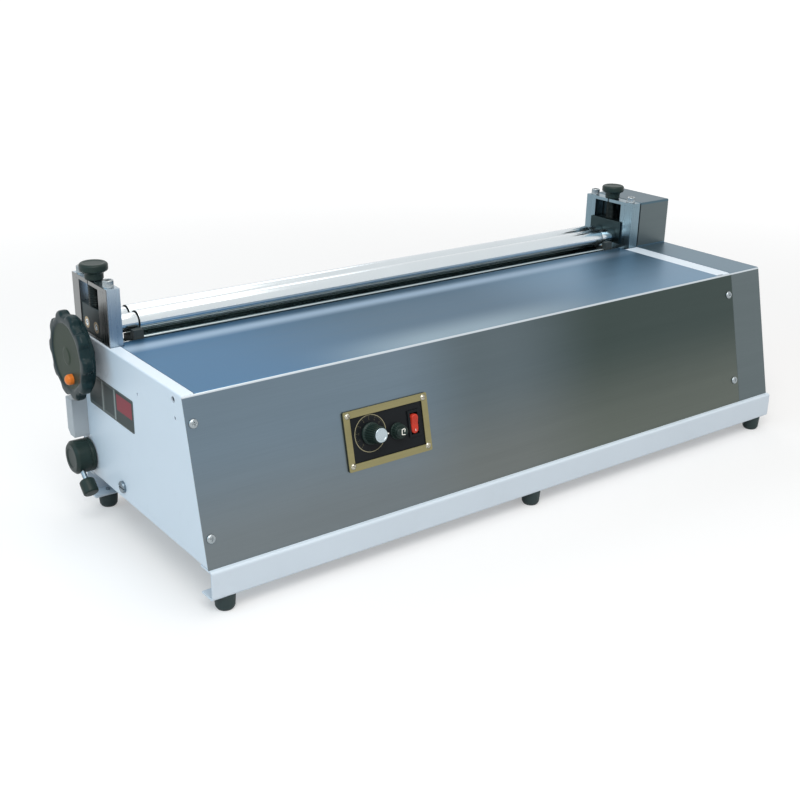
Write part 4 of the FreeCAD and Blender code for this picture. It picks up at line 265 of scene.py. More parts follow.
class Finish:
    """A material and the few node calls that its finishes need."""

    def __init__(self, name, **constants):
        self.material = bpy.data.materials.new(name)
        self.material.use_nodes = True
        self.tree = self.material.node_tree
        self.shader = self.tree.nodes["Principled BSDF"]
        for socket, value in constants.items():
            self.feed(socket.replace("_", " "), value)

    def feed(self, socket, value, node=None):
        """Sets or links one input socket."""
        target = (node or self.shader).inputs[socket]
        if isinstance(value, Val):
            self.tree.links.new(value.socket, target)
        elif isinstance(value, (tuple, list)) and len(value) == 3 and target.type == "RGBA":
            target.default_value = (*value, 1.0)
        else:
            target.default_value = value

    def node(self, kind, settings=None, inputs=None, output=0):
        """Adds a node, its settings first, then its inputs."""
        made = self.tree.nodes.new(kind)
        for name, value in (settings or {}).items():
            setattr(made, name, value)
        for socket, value in (inputs or {}).items():
            self.feed(socket, value, made)
        return Val(self, made.outputs[output])

    def coords(self, scale=(1, 1, 1), location=(0, 0, 0)):
        """Object coordinates, stretched and moved."""
        source = self.node("ShaderNodeTexCoord", output="Object")
        inputs = {"Vector": source, "Location": location, "Scale": scale}
        return self.node("ShaderNodeMapping", None, inputs)

    def noise(self, coords, scale=1.0, detail=3.0, roughness=0.55):
        """Fractal noise between 0 and 1."""
        inputs = {"Vector": coords, "Scale": scale, "Detail": detail, "Roughness": roughness}
        return self.node("ShaderNodeTexNoise", None, inputs)

    def mix(self, factor, first, second, blend="MIX"):
        """A colour between two colours, or their product with the blend MULTIPLY."""
        made = self.tree.nodes.new("ShaderNodeMix")
        made.data_type = "RGBA"
        made.blend_type = blend
        self.feed(0, factor, made)
        self.feed(6, first, made)
        self.feed(7, second, made)
        return Val(self, made.outputs[2])

    def place_mask(self, axis, start, span):
        """0 before a place along an Object axis, 1 beyond it, smooth over the span."""
        parts = self.node("ShaderNodeSeparateXYZ", None, {0: self.coords()}, axis)
        return parts.above(start, span)

    def bump(self, height, distance, strength, edge):
        """Feeds Normal with a bump, over edges softened by a radius."""
        soft = self.node("ShaderNodeBevel", {"samples": 4}, {"Radius": edge})
        inputs = {"Height": height, "Distance": distance, "Strength": strength, "Normal": soft}
        self.feed("Normal", self.node("ShaderNodeBump", None, inputs))
        return self


def shades(colour, darker, lighter):
    """Two colours round one: scaled down and up."""
    return tuple(c * darker for c in colour), tuple(min(1.0, c * lighter) for c in colour)


def shade(name):
    """One of the colours as it is set now."""
    return tuple(getattr(bpy.context.scene.gluing_colours, name))


def laid_over(finish, colour, steps):
    """Colours laid over a first one, each from a place along an Object axis.
    A step is (axis, start, span, colour)."""
    for axis, start, span, over in steps:
        colour = finish.mix(finish.place_mask(axis, start, span), colour, over)
    return colour


def painted(name, colour, rough=0.32, grime=0.12):
    """Powder coat: orange-peel bump, faint cloudy tint, a little grime in patches."""
    finish = Finish(name, Metallic=0.0, IOR=1.5)
    cloud = finish.noise(finish.coords(), scale=7.0, detail=5.0)
    spots = finish.noise(finish.coords(location=(3, 1, 2)), scale=28.0, detail=6.0, roughness=0.65)
    patch = spots.above(0.56, 0.2)
    clean = finish.mix(cloud, *shades(colour, 0.93, 1.03))
    dirty = tuple(c * share for c, share in zip(colour, GRIME_SHARES))
    finish.feed("Base Color", finish.mix(patch * grime, clean, dirty))
    finish.feed("Roughness", rough + 0.10 * cloud + 0.08 * patch)
    peel = finish.noise(finish.coords(), scale=PEEL_SCALE, detail=2.0)
    return finish.bump(peel, distance=0.03 * MM, strength=0.5, edge=0.7 * MM).material


def brushed(name, colour, stretch, rough=0.30, edge=0.5 * MM):
    """Brushed metal: noise stretched along the grain drives tint, roughness and a fine bump."""
    finish = Finish(name, Metallic=1.0)
    fine = finish.noise(finish.coords(tuple(s * 4 for s in stretch)), detail=4.0, roughness=0.7)
    broad = finish.noise(finish.coords(tuple(s * 0.35 for s in stretch)), roughness=0.6)
    smear = finish.noise(finish.coords(location=(1, 4, 2)), scale=5.0, roughness=0.5)
    grain = 0.6 * fine + 0.4 * broad
    dark, light = shades(colour, 0.78, 1.22)
    tint = finish.mix(grain, dark, light)
    finish.feed("Base Color", finish.mix(smear.above(0.45, 0.3) * 0.10, tint, dark))
    finish.feed("Roughness", rough - 0.05 + 0.12 * grain + 0.05 * smear)
    return finish.bump(grain, distance=0.02 * MM, strength=0.35, edge=edge).material


def cover_steel(name):
    """Brushed sheet of the covers, grain along X, with cloudy marks. Its tones by place are painted
    reflection and shade: cooler on the level table and the tops, warmer and darker to the right,
    changing up the slope, a light strip beside the rollers, a light patch near the bend and a
    painted highlight along the bend."""
    finish = Finish(name, Metallic=1.0)
    fine = finish.noise(finish.coords((14, 900, 900)), detail=4.0, roughness=0.7)
    broad = finish.noise(finish.coords((1.2, 80, 80)), roughness=0.6)
    clouds = finish.noise(finish.coords((4, 6, 7), location=(1, 4, 2)), roughness=0.5)
    grain = 0.55 * fine + 0.45 * broad
    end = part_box("end_cover")[0].x - 1 * MM
    table_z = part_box("front_cover")[1].z
    # Painted reflection and shade on the slope: a low and a high tone at the left, middle and right.
    raised = finish.place_mask(Z, 0.06, 0.12)
    left, centre, right = [finish.mix(raised, shade(name + "_low"), shade(name))
                           for name in ("steel", "steel_middle", "steel_far")]
    front = laid_over(finish, left, ((X, -0.18, 0.13, centre), (X, -0.02, 0.18, right),
                                     (X, end, 1 * MM, shade("steel_end"))))
    # Painted reflection of a blue surrounding on the level table, changing from left to right.
    table = laid_over(finish, shade("table"), ((X, -0.36, 0.26, shade("table_middle")),
                                               (X, 0.0, 0.26, shade("table_far"))))
    # Painted reflection of the rollers: a light strip on the table beside them.
    strip = finish.place_mask(Y, 0.027, 0.018) * (1 - finish.place_mask(Y, 0.047, 0.016))
    # Painted reflection: a light patch on the table near the bend.
    painted_sheen = (1 - finish.place_mask(Y, -0.11, 0.06)) * finish.place_mask(X, -0.30, 0.2) \
        * (1 - finish.place_mask(X, -0.04, 0.28))
    table = finish.mix(0.85 * strip, table, shade("table_strip"))
    table = finish.mix(0.8 * painted_sheen, table, shade("table_worn"))
    # Painted reflection on the end cover's level top.
    table = laid_over(finish, table, ((X, end, 1 * MM, shade("table_end")),))
    level = finish.place_mask(Z, table_z - 0.7 * MM, 0.5 * MM)
    # Painted highlight along the bend where the slope meets the table.
    tint = laid_over(finish, front, ((Z, table_z - 2.8 * MM, 0.8 * MM, shade("bend")),))
    # Above the table the end covers' tone, and a painted reflection on the gear cover's top.
    tint = laid_over(finish, finish.mix(level, tint, table), (
        (Z, table_z + 1 * MM, 1 * MM, shade("steel_end")),
        (Z, table_z + 61 * MM, 2 * MM, shade("gear_cover_top"))))
    tint = finish.mix(1.0, tint, 0.80 + 0.26 * grain + 0.14 * clouds, "MULTIPLY")
    finish.feed("Base Color", tint)
    finish.feed("Roughness", 0.26 + 0.10 * grain + 0.05 * clouds + 0.05 * level)
    return finish.bump(grain, distance=0.02 * MM, strength=0.25, edge=0.5 * MM).material


def post_steel(name):
    """Ground steel of the posts, grain upright, with painted shade: darker outer face, darker at the far end."""
    finish = Finish(name, Metallic=1.0)
    fine = finish.noise(finish.coords((700, 700, 12)), detail=4.0, roughness=0.7)
    broad = finish.noise(finish.coords((120, 120, 3)), roughness=0.6)
    grain = 0.5 * fine + 0.5 * broad
    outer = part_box("left_post")[0].x
    # Painted shade: the outer face of the left post darker, and the right post darker.
    tint = laid_over(finish, shade("machined_outer"), (
        (X, outer + 0.6 * MM, 0.6 * MM, shade("machined")), (X, 0.0, 0.2, shade("machined_far"))))
    finish.feed("Base Color", finish.mix(1.0, tint, 0.72 + 0.56 * grain, "MULTIPLY"))
    finish.feed("Roughness", 0.22 + 0.12 * grain)
    return finish.bump(grain, distance=0.02 * MM, strength=0.3, edge=0.5 * MM).material


def wheel_plastic(name):
    """Moulded hand wheel: dull olive inside the dish, glossier and darker round the lobes."""
    finish = Finish(name, Metallic=0.0, IOR=1.47, Specular_IOR_Level=0.15)
    centre = middle("handwheel")
    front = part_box("handwheel")[0].x
    across = finish.coords(location=(0, -centre.y, -centre.z), scale=(0, 1, 1))
    reach = finish.node("ShaderNodeVectorMath", {"operation": "LENGTH"}, {0: across}, 1)
    inside = (1 - reach.above(sizes().dish_radius, 1.5 * MM)) \
        * (1 - finish.place_mask(X, front + 3 * MM, 1 * MM))
    cloud = finish.noise(finish.coords(), scale=40.0, detail=4.0)
    specks = finish.noise(finish.coords(location=(2, 5, 1)), scale=160.0, detail=5.0, roughness=0.7)
    dust = specks.above(0.52, 0.25)
    rim = finish.mix(cloud, shade("wheel_rim_dark"), shade("wheel_rim"))
    face = finish.mix(cloud, shade("wheel_face_dark"), shade("wheel_face"))
    finish.feed("Base Color", finish.mix(0.3 * dust, finish.mix(inside, rim, face),
                                         shade("wheel_dust")))
    finish.feed("Roughness", 0.24 + 0.10 * cloud + 0.10 * dust + 0.16 * inside)
    skin = finish.noise(finish.coords(), scale=SKIN_SCALE, detail=2.0)
    return finish.bump(skin, distance=0.03 * MM, strength=0.5, edge=0.5 * MM).material


def polished(name, colour, rough=0.10, stretch=(900, 6, 6)):
    """Turned and polished metal: fine rings, faint haze."""
    finish = Finish(name, Metallic=1.0)
    ring = finish.noise(finish.coords(stretch), roughness=0.6)
    haze = finish.noise(finish.coords(), scale=14.0, detail=4.0)
    finish.feed("Base Color", finish.mix(haze, *shades(colour, 0.94, 1.04)))
    finish.feed("Roughness", rough + 0.02 * ring + 0.05 * haze)
    return finish.bump(ring, distance=0.001 * MM, strength=0.1, edge=0.2 * MM).material


def moulded(name, colour, rough, edge=0.5 * MM, speckle=0.25, shine=0.22):
    """Moulded plastic or rubber: fine grain, cloudy gloss, pale dust in specks."""
    finish = Finish(name, Metallic=0.0, IOR=1.47, Specular_IOR_Level=shine)
    cloud = finish.noise(finish.coords(), scale=35.0, detail=4.0)
    skin = finish.noise(finish.coords(), scale=SKIN_SCALE, detail=2.0)
    specks = finish.noise(finish.coords(location=(2, 5, 1)), scale=160.0, detail=5.0, roughness=0.7)
    dust = specks.above(0.55, 0.25)
    pale = tuple(0.8 * c + 0.03 for c in colour)
    tint = finish.mix(cloud, *shades(colour, 0.82, 1.25))
    finish.feed("Base Color", finish.mix(dust * speckle, tint, pale))
    finish.feed("Roughness", rough + 0.12 * cloud + 0.10 * dust)
    return finish.bump(skin, distance=0.03 * MM, strength=0.5, edge=edge).material


def cast_metal(name, colour, rough):
    """Plain metal with mottled tint: zinc, black oxide, bronze."""
    finish = Finish(name, Metallic=1.0)
    spots = finish.noise(finish.coords(), scale=MOTTLE_SCALE, detail=5.0, roughness=0.6)
    fine = finish.noise(finish.coords(), scale=1200.0, detail=2.0)
    finish.feed("Base Color", finish.mix(spots, *shades(colour, 0.78, 1.18)))
    finish.feed("Roughness", rough - 0.08 + 0.18 * spots)
    return finish.bump(fine, distance=0.02 * MM, strength=0.4, edge=0.4 * MM).material


def screw_with_painted_end(name, colour):
    """Dark screw whose end, level with the outside of the left plate, is painted with it."""
    finish = Finish(name)
    inside = finish.place_mask(X, PLATE_X + 1.0 * MM, 0.4 * MM)
    spots = finish.noise(finish.coords(), scale=MOTTLE_SCALE, detail=5.0, roughness=0.6)
    bare = finish.mix(spots, *shades(colour, 0.78, 1.18))
    finish.feed("Base Color", finish.mix(inside, shade("paint"), bare))
    finish.feed("Metallic", inside)
    finish.feed("Roughness", 0.32 + 0.15 * spots)
    peel = finish.noise(finish.coords(), scale=PEEL_SCALE, detail=2.0)
    return finish.bump(peel, distance=0.03 * MM, strength=0.5, edge=0.3 * MM).material


# For each slot its maker, then its colour or the colour's name in the settings, then the maker's
# other values.
FINISH_TABLE = {
    "white_paint": (painted, "paint"),
    "grey_paint": (painted, "grey", 0.4, 0.3),
    "motor_paint": (painted, (0.05, 0.055, 0.06), 0.45),
    "stainless": (cover_steel,),
    "tray_steel": (brushed, (0.42, 0.44, 0.45), (3, 260, 260), 0.3),
    "blade_steel": (brushed, (0.46, 0.53, 0.55), (3, 260, 260), 0.2),
    "galvanised": (brushed, (0.5, 0.52, 0.53), (60, 60, 60), 0.4),
    "brass_plate": (brushed, "brass", (6, 300, 300), 0.33, 0.3 * MM),
    "machined_steel": (post_steel,),
    "hard_chrome": (polished, "chrome", 0.13, (300, 6, 6)),
    "glue_chrome": (polished, (0.13, 0.18, 0.18)),
    "turned_aluminium": (polished, (0.44, 0.52, 0.56), 0.2, (60, 900, 60)),
    "block_black": (cast_metal, (0.030, 0.048, 0.052), 0.42),
    "dome_screw": (cast_metal, (0.43, 0.41, 0.34), 0.22),
    "slotted_steel": (cast_metal, (0.20, 0.25, 0.29), 0.3),
    "gear_steel": (cast_metal, (0.42, 0.43, 0.44), 0.35),
    "zinc_steel": (cast_metal, (0.34, 0.38, 0.40), 0.26),
    "black_oxide": (cast_metal, (0.030, 0.038, 0.038), 0.38),
    "bronze": (cast_metal, (0.52, 0.40, 0.24), 0.35),
    "frame_screw": (screw_with_painted_end, (0.09, 0.095, 0.10)),
    "wheel_plastic": (wheel_plastic,),
    "rubber": (moulded, (0.020, 0.036, 0.037), 0.55, 0.8 * MM, 0.5, 0.4),
    "black_plastic": (moulded, "plastic", 0.34),
    "nylon": (moulded, (0.045, 0.055, 0.056), 0.45),
    "gear_nylon": (moulded, (0.72, 0.70, 0.62), 0.45),
    "panel_black": (moulded, (0.009, 0.011, 0.013), 0.3, 0.2 * MM, 0.12, 0.12),
    # Painted shade in the rollers' seams.
    "seam_painted_shade": (moulded, (0.010, 0.013, 0.015), 0.5, 0.1 * MM, 0.1, 0.1),
    "board": (moulded, (0.02, 0.12, 0.06), 0.4),
    "red_plastic": (moulded, "red", 0.22, 0.4 * MM, 0.08),
    "orange_plastic": (moulded, "orange", 0.25, 0.4 * MM, 0.1),
    "print_cream": (moulded, (0.80, 0.80, 0.74), 0.5, 0.1 * MM, 0.2),
    "print_tan": (moulded, (0.36, 0.33, 0.21), 0.5, 0.1 * MM, 0.2),
    "print_faint": (moulded, (0.10, 0.095, 0.06), 0.5, 0.1 * MM, 0.2),
    "label_ground": (moulded, (0.075, 0.095, 0.095), 0.35, 0.2 * MM, 0.3),
    "label_dark": (moulded, (0.022, 0.036, 0.036), 0.35, 0.2 * MM, 0.2),
    "label_line": (moulded, (0.30, 0.34, 0.33), 0.4, 0.1 * MM, 0.2),
    "label_red": (moulded, (0.22, 0.020, 0.035), 0.35, 0.1 * MM, 0.3),
}
MADE_FINISHES = {}


def finish_for(slot):
    """The material of one slot, made once. A colour given by name is read from the settings."""
    if slot not in MADE_FINISHES:
        maker, *values = FINISH_TABLE[slot]
        if values and isinstance(values[0], str):
            values[0] = shade(values[0])
        MADE_FINISHES[slot] = maker(slot, *values)
    return MADE_FINISHES[slot]


# Sizes and colours that a user would change

def length(name, text, default):
    """A size in metres with a plain name."""
    return bpy.props.FloatProperty(name=name, description=text, default=default, min=0.0,
                                   unit="LENGTH")


def colour(name, text, default):
    """A linear colour."""
    return bpy.props.FloatVectorProperty(name=name, description=text, default=default, min=0.0,
                                         max=1.0, size=3, subtype="COLOR")


class GluingSizes(bpy.types.PropertyGroup):
    """Sizes of the fine surfaces that the frame doesn't hold."""
    thread_pitch: length("Thread pitch", "Pitch of the height spindles", 2.0 * MM)
    thread_depth: length("Thread depth", "Depth of the spindles' thread", 1.1 * MM)
    lobe_depth: length("Lobe depth", "From the hand wheel's lobes to its valleys", 5.0 * MM)
    dish_radius: length("Dish radius", "Radius of the hand wheel's dished face", 36.5 * MM)
    roller_collar: length("Collar radius", "Radius of the press rollers' collars", 10.5 * MM)
    roller_journal: length("Journal radius", "Radius of the press rollers' journals", 4.0 * MM)
    roller_inset: length("Face inset", "From the side plates' outer faces to the rollers' faces",
                         50.0 * MM)
    roller_collar_start: length("Collar start", "From the plates' outer faces to the collars",
                                21.3 * MM)
    roller_seam: length("Seam", "Width and depth of the seams beside the collars", 0.8 * MM)
    glue_shaft: length("Glue shaft radius", "Radius of the glue roller's shaft", 8.0 * MM)
    glue_seat: length("Wheel seat radius", "Radius of the shaft's end in the hand wheel", 6.0 * MM)
    dial_radius: length("Dial radius", "Middle of the dial's ring", 20.5 * MM)
    dial_width: length("Dial width", "Width of the dial's ring", 0.7 * MM)
    print_height: length("Print height", "How far printed marks stand off their face", 0.12 * MM)
    label_width: length("Label width", "Width of the bare plate on the left side", 116.0 * MM)
    label_height: length("Label height", "Height of the bare plate on the left side", 38.0 * MM)


class GluingColours(bpy.types.PropertyGroup):
    """Colours of the finishes, linear."""
    paint: colour("Paint", "White powder coat", (0.69, 0.785, 0.875))
    grey: colour("Grey paint", "Side box", (0.42, 0.46, 0.49))
    # Steel tones by place, left to right and low to high on the slope, are painted reflection and shade.
    steel: colour("Steel", "Covers at the left, high on the slope", (0.150, 0.203, 0.248))
    steel_low: colour("Steel, low", "Covers at the left, low on the slope", (0.165, 0.192, 0.205))
    steel_middle: colour("Steel, middle", "Covers in the middle, high on the slope",
                         (0.108, 0.140, 0.156))
    steel_middle_low: colour("Steel, middle, low", "Covers in the middle, low on the slope",
                             (0.155, 0.172, 0.168))
    steel_far: colour("Steel, far end", "Covers at the right, high on the slope",
                      (0.052, 0.072, 0.068))
    steel_far_low: colour("Steel, far end, low", "Covers at the right, low on the slope",
                          (0.120, 0.138, 0.122))
    steel_end: colour("Steel, end covers", "The two end covers", (0.120, 0.150, 0.158))
    # Painted highlight along the bend.
    bend: colour("Bend", "Bright line where the slope meets the table", (0.60, 0.66, 0.70))
    # Table and tops: painted reflection of a blue surrounding, with a light strip and a light patch.
    table: colour("Table", "Level table at the left", (0.045, 0.142, 0.262))
    table_middle: colour("Table, middle", "Level table in the middle", (0.050, 0.118, 0.185))
    table_far: colour("Table, far end", "Level table at the right", (0.135, 0.252, 0.370))
    table_strip: colour("Table strip", "Painted_reflection strip beside the rollers", (0.34, 0.46, 0.59))
    table_worn: colour("Table, worn", "Painted_sheen patch near the bend", (0.26, 0.36, 0.43))
    table_end: colour("Table, end cover", "Level top of the end cover", (0.135, 0.215, 0.275))
    gear_cover_top: colour("Gear cover top", "Top of the cover over the gears",
                           (0.080, 0.135, 0.170))
    # Post tones: the outer face and the right post darker as painted shade.
    machined: colour("Machined steel", "Left post", (0.40, 0.48, 0.55))
    machined_outer: colour("Machined steel, outer face", "Outer face of the left post",
                           (0.225, 0.228, 0.226))
    machined_far: colour("Machined steel, far end", "Right post", (0.20, 0.285, 0.335))
    chrome: colour("Chrome", "Rollers", (0.66, 0.715, 0.745))
    brass: colour("Brass", "Panel frame", (0.27, 0.245, 0.125))
    plastic: colour("Black plastic", "Knobs and lever", (0.013, 0.026, 0.023))
    wheel_rim: colour("Wheel rim", "Hand wheel's lobes, light", (0.012, 0.032, 0.036))
    wheel_rim_dark: colour("Wheel rim, dark", "Hand wheel's lobes, dark", (0.004, 0.015, 0.018))
    wheel_face: colour("Wheel face", "Hand wheel's dish, light", (0.034, 0.050, 0.032))
    wheel_face_dark: colour("Wheel face, dark", "Hand wheel's dish, dark", (0.018, 0.030, 0.020))
    wheel_dust: colour("Wheel dust", "Dust on the hand wheel", (0.06, 0.08, 0.075))
    red: colour("Red", "Rocker switch", (0.56, 0.045, 0.025))
    orange: colour("Orange", "Hand wheel's button", (0.72, 0.19, 0.03))


def sizes():
    """The sizes as they are set now."""
    return bpy.context.scene.gluing_sizes


# Rollers

def roller_ends():
    """The places along X where the rollers' faces begin and end."""
    inset = sizes().roller_inset
    return PLATE_X + inset, PLATE_FAR_X - inset


def press_roller_mesh(node):
    """Turned along X: journal, collar, seam, face, seam, collar, journal.
    Rings are (x, r) rows with their corners softened."""
    s = sizes()
    low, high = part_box(node)
    face = (high.z - low.z) / 2
    left, right = roller_ends()
    collar, journal, seam = s.roller_collar, s.roller_journal, s.roller_seam
    collar_left = PLATE_X + s.roller_collar_start
    collar_right = PLATE_FAR_X - s.roller_collar_start
    hole, hole_mouth = 1.2 * MM, 1.9 * MM
    profile = [
        (low.x, 0), (low.x, hole), (low.x + hole, hole), (low.x + hole, hole + 0.1 * MM),
        (low.x, hole_mouth), (low.x, journal), (collar_left, journal), (collar_left, collar),
        (left - seam, collar), (left - seam, collar - seam), (left, collar - seam), (left, face),
        (right, face), (right, collar - seam), (right + seam, collar - seam),
        (right + seam, collar), (collar_right, collar), (collar_right, journal),
        (high.x, journal), (high.x, 0)]
    return turned_mesh(node + "_turned", softened(profile, 0.35 * MM, 3), along_x(node),
                       FINE_SEGMENTS)


def seam_rings_mesh(node):
    """Thin dark rings in the steps between the collars and the roller's face, as painted shade in
    these grooves: a box section turned about X, closed on itself."""
    low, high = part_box(node)
    outer = (high.z - low.z) / 2 - 0.15 * MM
    inner = sizes().roller_collar - 1.0 * MM
    left, right = roller_ends()
    meshes = []
    for start, way in ((left, -1), (right, 1)):
        near, far = start + way * 0.05 * MM, start + way * 0.75 * MM
        ring = [(near, inner), (near, outer), (far, outer), (far, inner), (near, inner)]
        meshes.append(turned_mesh("seam_ring", ring, along_x(node)))
    return merged_mesh(node + "_seam_rings", meshes)


class GLUING_OT_press_rollers(bpy.types.Operator):
    """Both press rollers, turned with collars, seams and centre holes"""
    bl_idname = "gluing.press_rollers"
    bl_label = "Press Rollers"

    def execute(self, context):
        for node, body in (("front_press_roller", "front_press"),
                           ("rear_press_roller", "rear_press")):
            place(node + "_surface", press_roller_mesh(node), body, "hard_chrome", node)
            # Dark rings as painted shade in the seams.
            place(node + "_seams", seam_rings_mesh(node), body, "seam_painted_shade")
        return {"FINISHED"}


class GLUING_OT_glue_roller(bpy.types.Operator):
    """The glue roller with its shaft"""
    bl_idname = "gluing.glue_roller"
    bl_label = "Glue Roller"

    def execute(self, context):
        low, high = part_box("glue_roller")
        face = (high.z - low.z) / 2
        left, right = roller_ends()
        seat, shaft = sizes().glue_seat, sizes().glue_shaft
        seat_end = PLATE_X - 3.0 * MM
        profile = [(low.x, 0), (low.x, seat), (seat_end, seat), (seat_end, shaft), (left, shaft),
                   (left, face), (right, face), (right, shaft), (high.x, shaft), (high.x, 0)]
        mesh = turned_mesh("glue_roller_turned", softened(profile, 0.5 * MM, 3),
                           along_x("glue_roller"), FINE_SEGMENTS)
        place("glue_roller_surface", mesh, "glue_drive", "glue_chrome", "glue_roller")
        return {"FINISHED"}


# Hand wheel

class GLUING_OT_hand_wheel(bpy.types.Operator):
    """The lobed hand wheel with its dished face and domed button"""
    bl_idname = "gluing.hand_wheel"
    bl_label = "Hand Wheel"

    def execute(self, context):
        s = sizes()
        low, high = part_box("handwheel")
        rim = (high.y - low.y) / 2
        mean, valley = rim - s.lobe_depth / 2, rim - s.lobe_depth
        front, hub_end = low.x, high.x
        dish = front + 1.5 * MM
        boss = dish - 0.9 * MM
        rim_back = front + 12.0 * MM
        flange_back = rim_back + 5.0 * MM
        boss_radius, hub_radius = 9.0 * MM, 16.0 * MM
        # Rows are (x, r, lobe weight). The centre is a shallow boss inside the dish.
        profile = [
            (boss, 0, 0), (boss, boss_radius, 0), (dish, boss_radius + 1.5 * MM, 0),
            (dish, s.dish_radius, 0), (front, s.dish_radius + 3.0 * MM, 0.2),
            (front, mean - 2.4 * MM, 0.8), (front + 2.4 * MM, mean, 1),
            (rim_back - 2.0 * MM, mean, 1), (rim_back, mean - 1.6 * MM, 0.9),
            (rim_back, valley - 1.2 * MM, 0), (flange_back, valley - 1.6 * MM, 0),
            (flange_back, hub_radius + 1.5 * MM, 0), (flange_back + 3.0 * MM, hub_radius, 0),
            (hub_end, hub_radius, 0), (hub_end, 0, 0)]
        lobes, flatness = 10, 2.0

        def lobed(rows, angle, along, r):
            """r + weight * lobe depth / 2 * tanh(2 cos(10 a)) / tanh 2: ten flat-topped lobes."""
            wave = np.tanh(flatness * np.cos(lobes * angle)) / math.tanh(flatness)
            return along, r + rows[:, 2:3] * s.lobe_depth / 2 * wave

        mesh = turned_mesh("hand_wheel_moulded", softened(profile, 2.2 * MM, 5),
                           along_x("handwheel"), 320, lobed)
        place("hand_wheel_surface", mesh, "glue_drive", "wheel_plastic", "handwheel")
        low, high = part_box("wheel_button")
        radius = (high.y - low.y) / 2
        crown = (high.x - low.x) * 0.55
        dome = [(low.x + crown * (1 - math.cos(a)), radius * math.sin(a))
                for a in np.linspace(0, math.pi / 2, 12)]
        mesh = turned_mesh("wheel_button_domed", dome + [(high.x, radius)],
                           along_x("wheel_button"), 64)
        place("wheel_button_surface", mesh, "glue_drive", "orange_plastic", "wheel_button")
        return {"FINISHED"}


# Height adjusters

def spindle_mesh(node):
    """Turned about Z with a thread: r falls from the crest by
    depth * |2 frac(z / pitch - a / 2 pi) - 1|, which winds one step per turn."""
    s = sizes()
    low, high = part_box(node)
    crest = (high.x - low.x) / 2
    tang, collar = crest / 2, 5.0 * MM
    root = crest - s.thread_depth
    shoulder = low.z + 9.3 * MM
    neck = high.z - 9.7 * MM
    start = [(low.z, 0, 0), (low.z, collar, 0), (shoulder, collar, 0), (shoulder, root, 0)]
    thread = [(z, crest, 1) for z in np.linspace(shoulder + 0.5 * MM, neck - 0.5 * MM, 150)]
    end = [(neck, root, 0), (neck, tang, 0), (high.z, tang, 0), (high.z, 0, 0)]

    def threaded(rows, angle, along, r):
        turn = np.mod(along / s.thread_pitch - angle / (2 * math.pi), 1.0)
        fall = np.clip(np.abs(2 * turn - 1) * 1.25 - 0.12, 0, 1)
        return along, r - rows[:, 2:3] * s.thread_depth * fall

    return turned_mesh(node + "_threaded", start + thread + end, along_z(middle(node)), 64,
                       threaded, 60.0)


def adjuster_knob_mesh(node):
    """Turned about Z: neck, short flare, thick disc with a dished top."""
    low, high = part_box(node)
    disc = (high.x - low.x) / 2 + 0.8 * MM
    neck, flare, dish = 10.5 * MM, 12.2 * MM, 10.0 * MM
    foot, top = low.z, high.z
    profile = [(foot, 0), (foot, neck - 0.9 * MM), (foot + 0.9 * MM, neck - 0.1 * MM),
               (foot + 6.8 * MM, neck), (foot + 8.6 * MM, flare),
               (foot + 10.2 * MM, disc - 0.4 * MM), (foot + 11.6 * MM, disc),
               (top - 1.8 * MM, disc), (top, disc - 2.0 * MM),
               (top - 0.1 * MM, dish + 1.5 * MM), (top - 0.9 * MM, dish), (top - 0.7 * MM, 0)]
    return turned_mesh(node + "_moulded", softened(profile, 1.1 * MM), along_z(middle(node)))


class GLUING_OT_adjusters(bpy.types.Operator):
    """Both height adjusters: moulded knobs on threaded spindles"""
    bl_idname = "gluing.adjusters"
    bl_label = "Height Adjusters"

    def execute(self, context):
        for side in ("left", "right"):
            body, knob, spindle = side + "_adjuster", side + "_knob", side + "_spindle"
            place(knob + "_surface", adjuster_knob_mesh(knob), body, "black_plastic", knob)
            place(spindle + "_thread", spindle_mesh(spindle), body, "black_oxide", spindle)
        return {"FINISHED"}


# Screws

CAP_SCREW_HEAD = 6.0 * MM
PAN_HEIGHT = 2.6 * MM


def socket_screw_mesh(name, x, y, seat, top, low):
    """Turned about Z. The socket's radius at angle a is flat / cos((a mod 60) - 30), and the
    head's side is knurled by a small sine."""
    head, shank, flat = CAP_SCREW_HEAD, 3.0 * MM, 2.8 * MM
    socket, knurl_depth, knurls = 4.0 * MM, 0.16 * MM, 36
    # Rows are (z, r, knurl weight, hexagon weight).
    rows = [
        (low, 0, 0, 0), (low, shank, 0, 0), (seat, shank, 0, 0), (seat, head, 0, 0),
        (seat + 0.8 * MM, head, 0, 0), (seat + 1.0 * MM, head, 1, 0), (top - 1.6 * MM, head, 1, 0),
        (top - 1.4 * MM, head, 0, 0), (top - 0.6 * MM, head - 0.1 * MM, 0, 0),
        (top, head - 0.9 * MM, 0, 0), (top, flat + 1.0 * MM, 0, 0), (top - 0.25 * MM, flat, 0, 1),
        (top - socket, flat, 0, 1), (top - socket, 0, 0, 0)]

    def shaped(rows, angle, along, r):
        turn = np.mod(angle, math.pi / 3) - math.pi / 6
        hexagon = flat / np.cos(turn)
        groove = knurl_depth * (1 - np.sin(knurls * angle))
        return along, r * (1 - rows[:, 3:]) + hexagon * rows[:, 3:] - rows[:, 2:3] * groove

    return turned_mesh(name, rows, along_z((x, y)), 216, shaped)


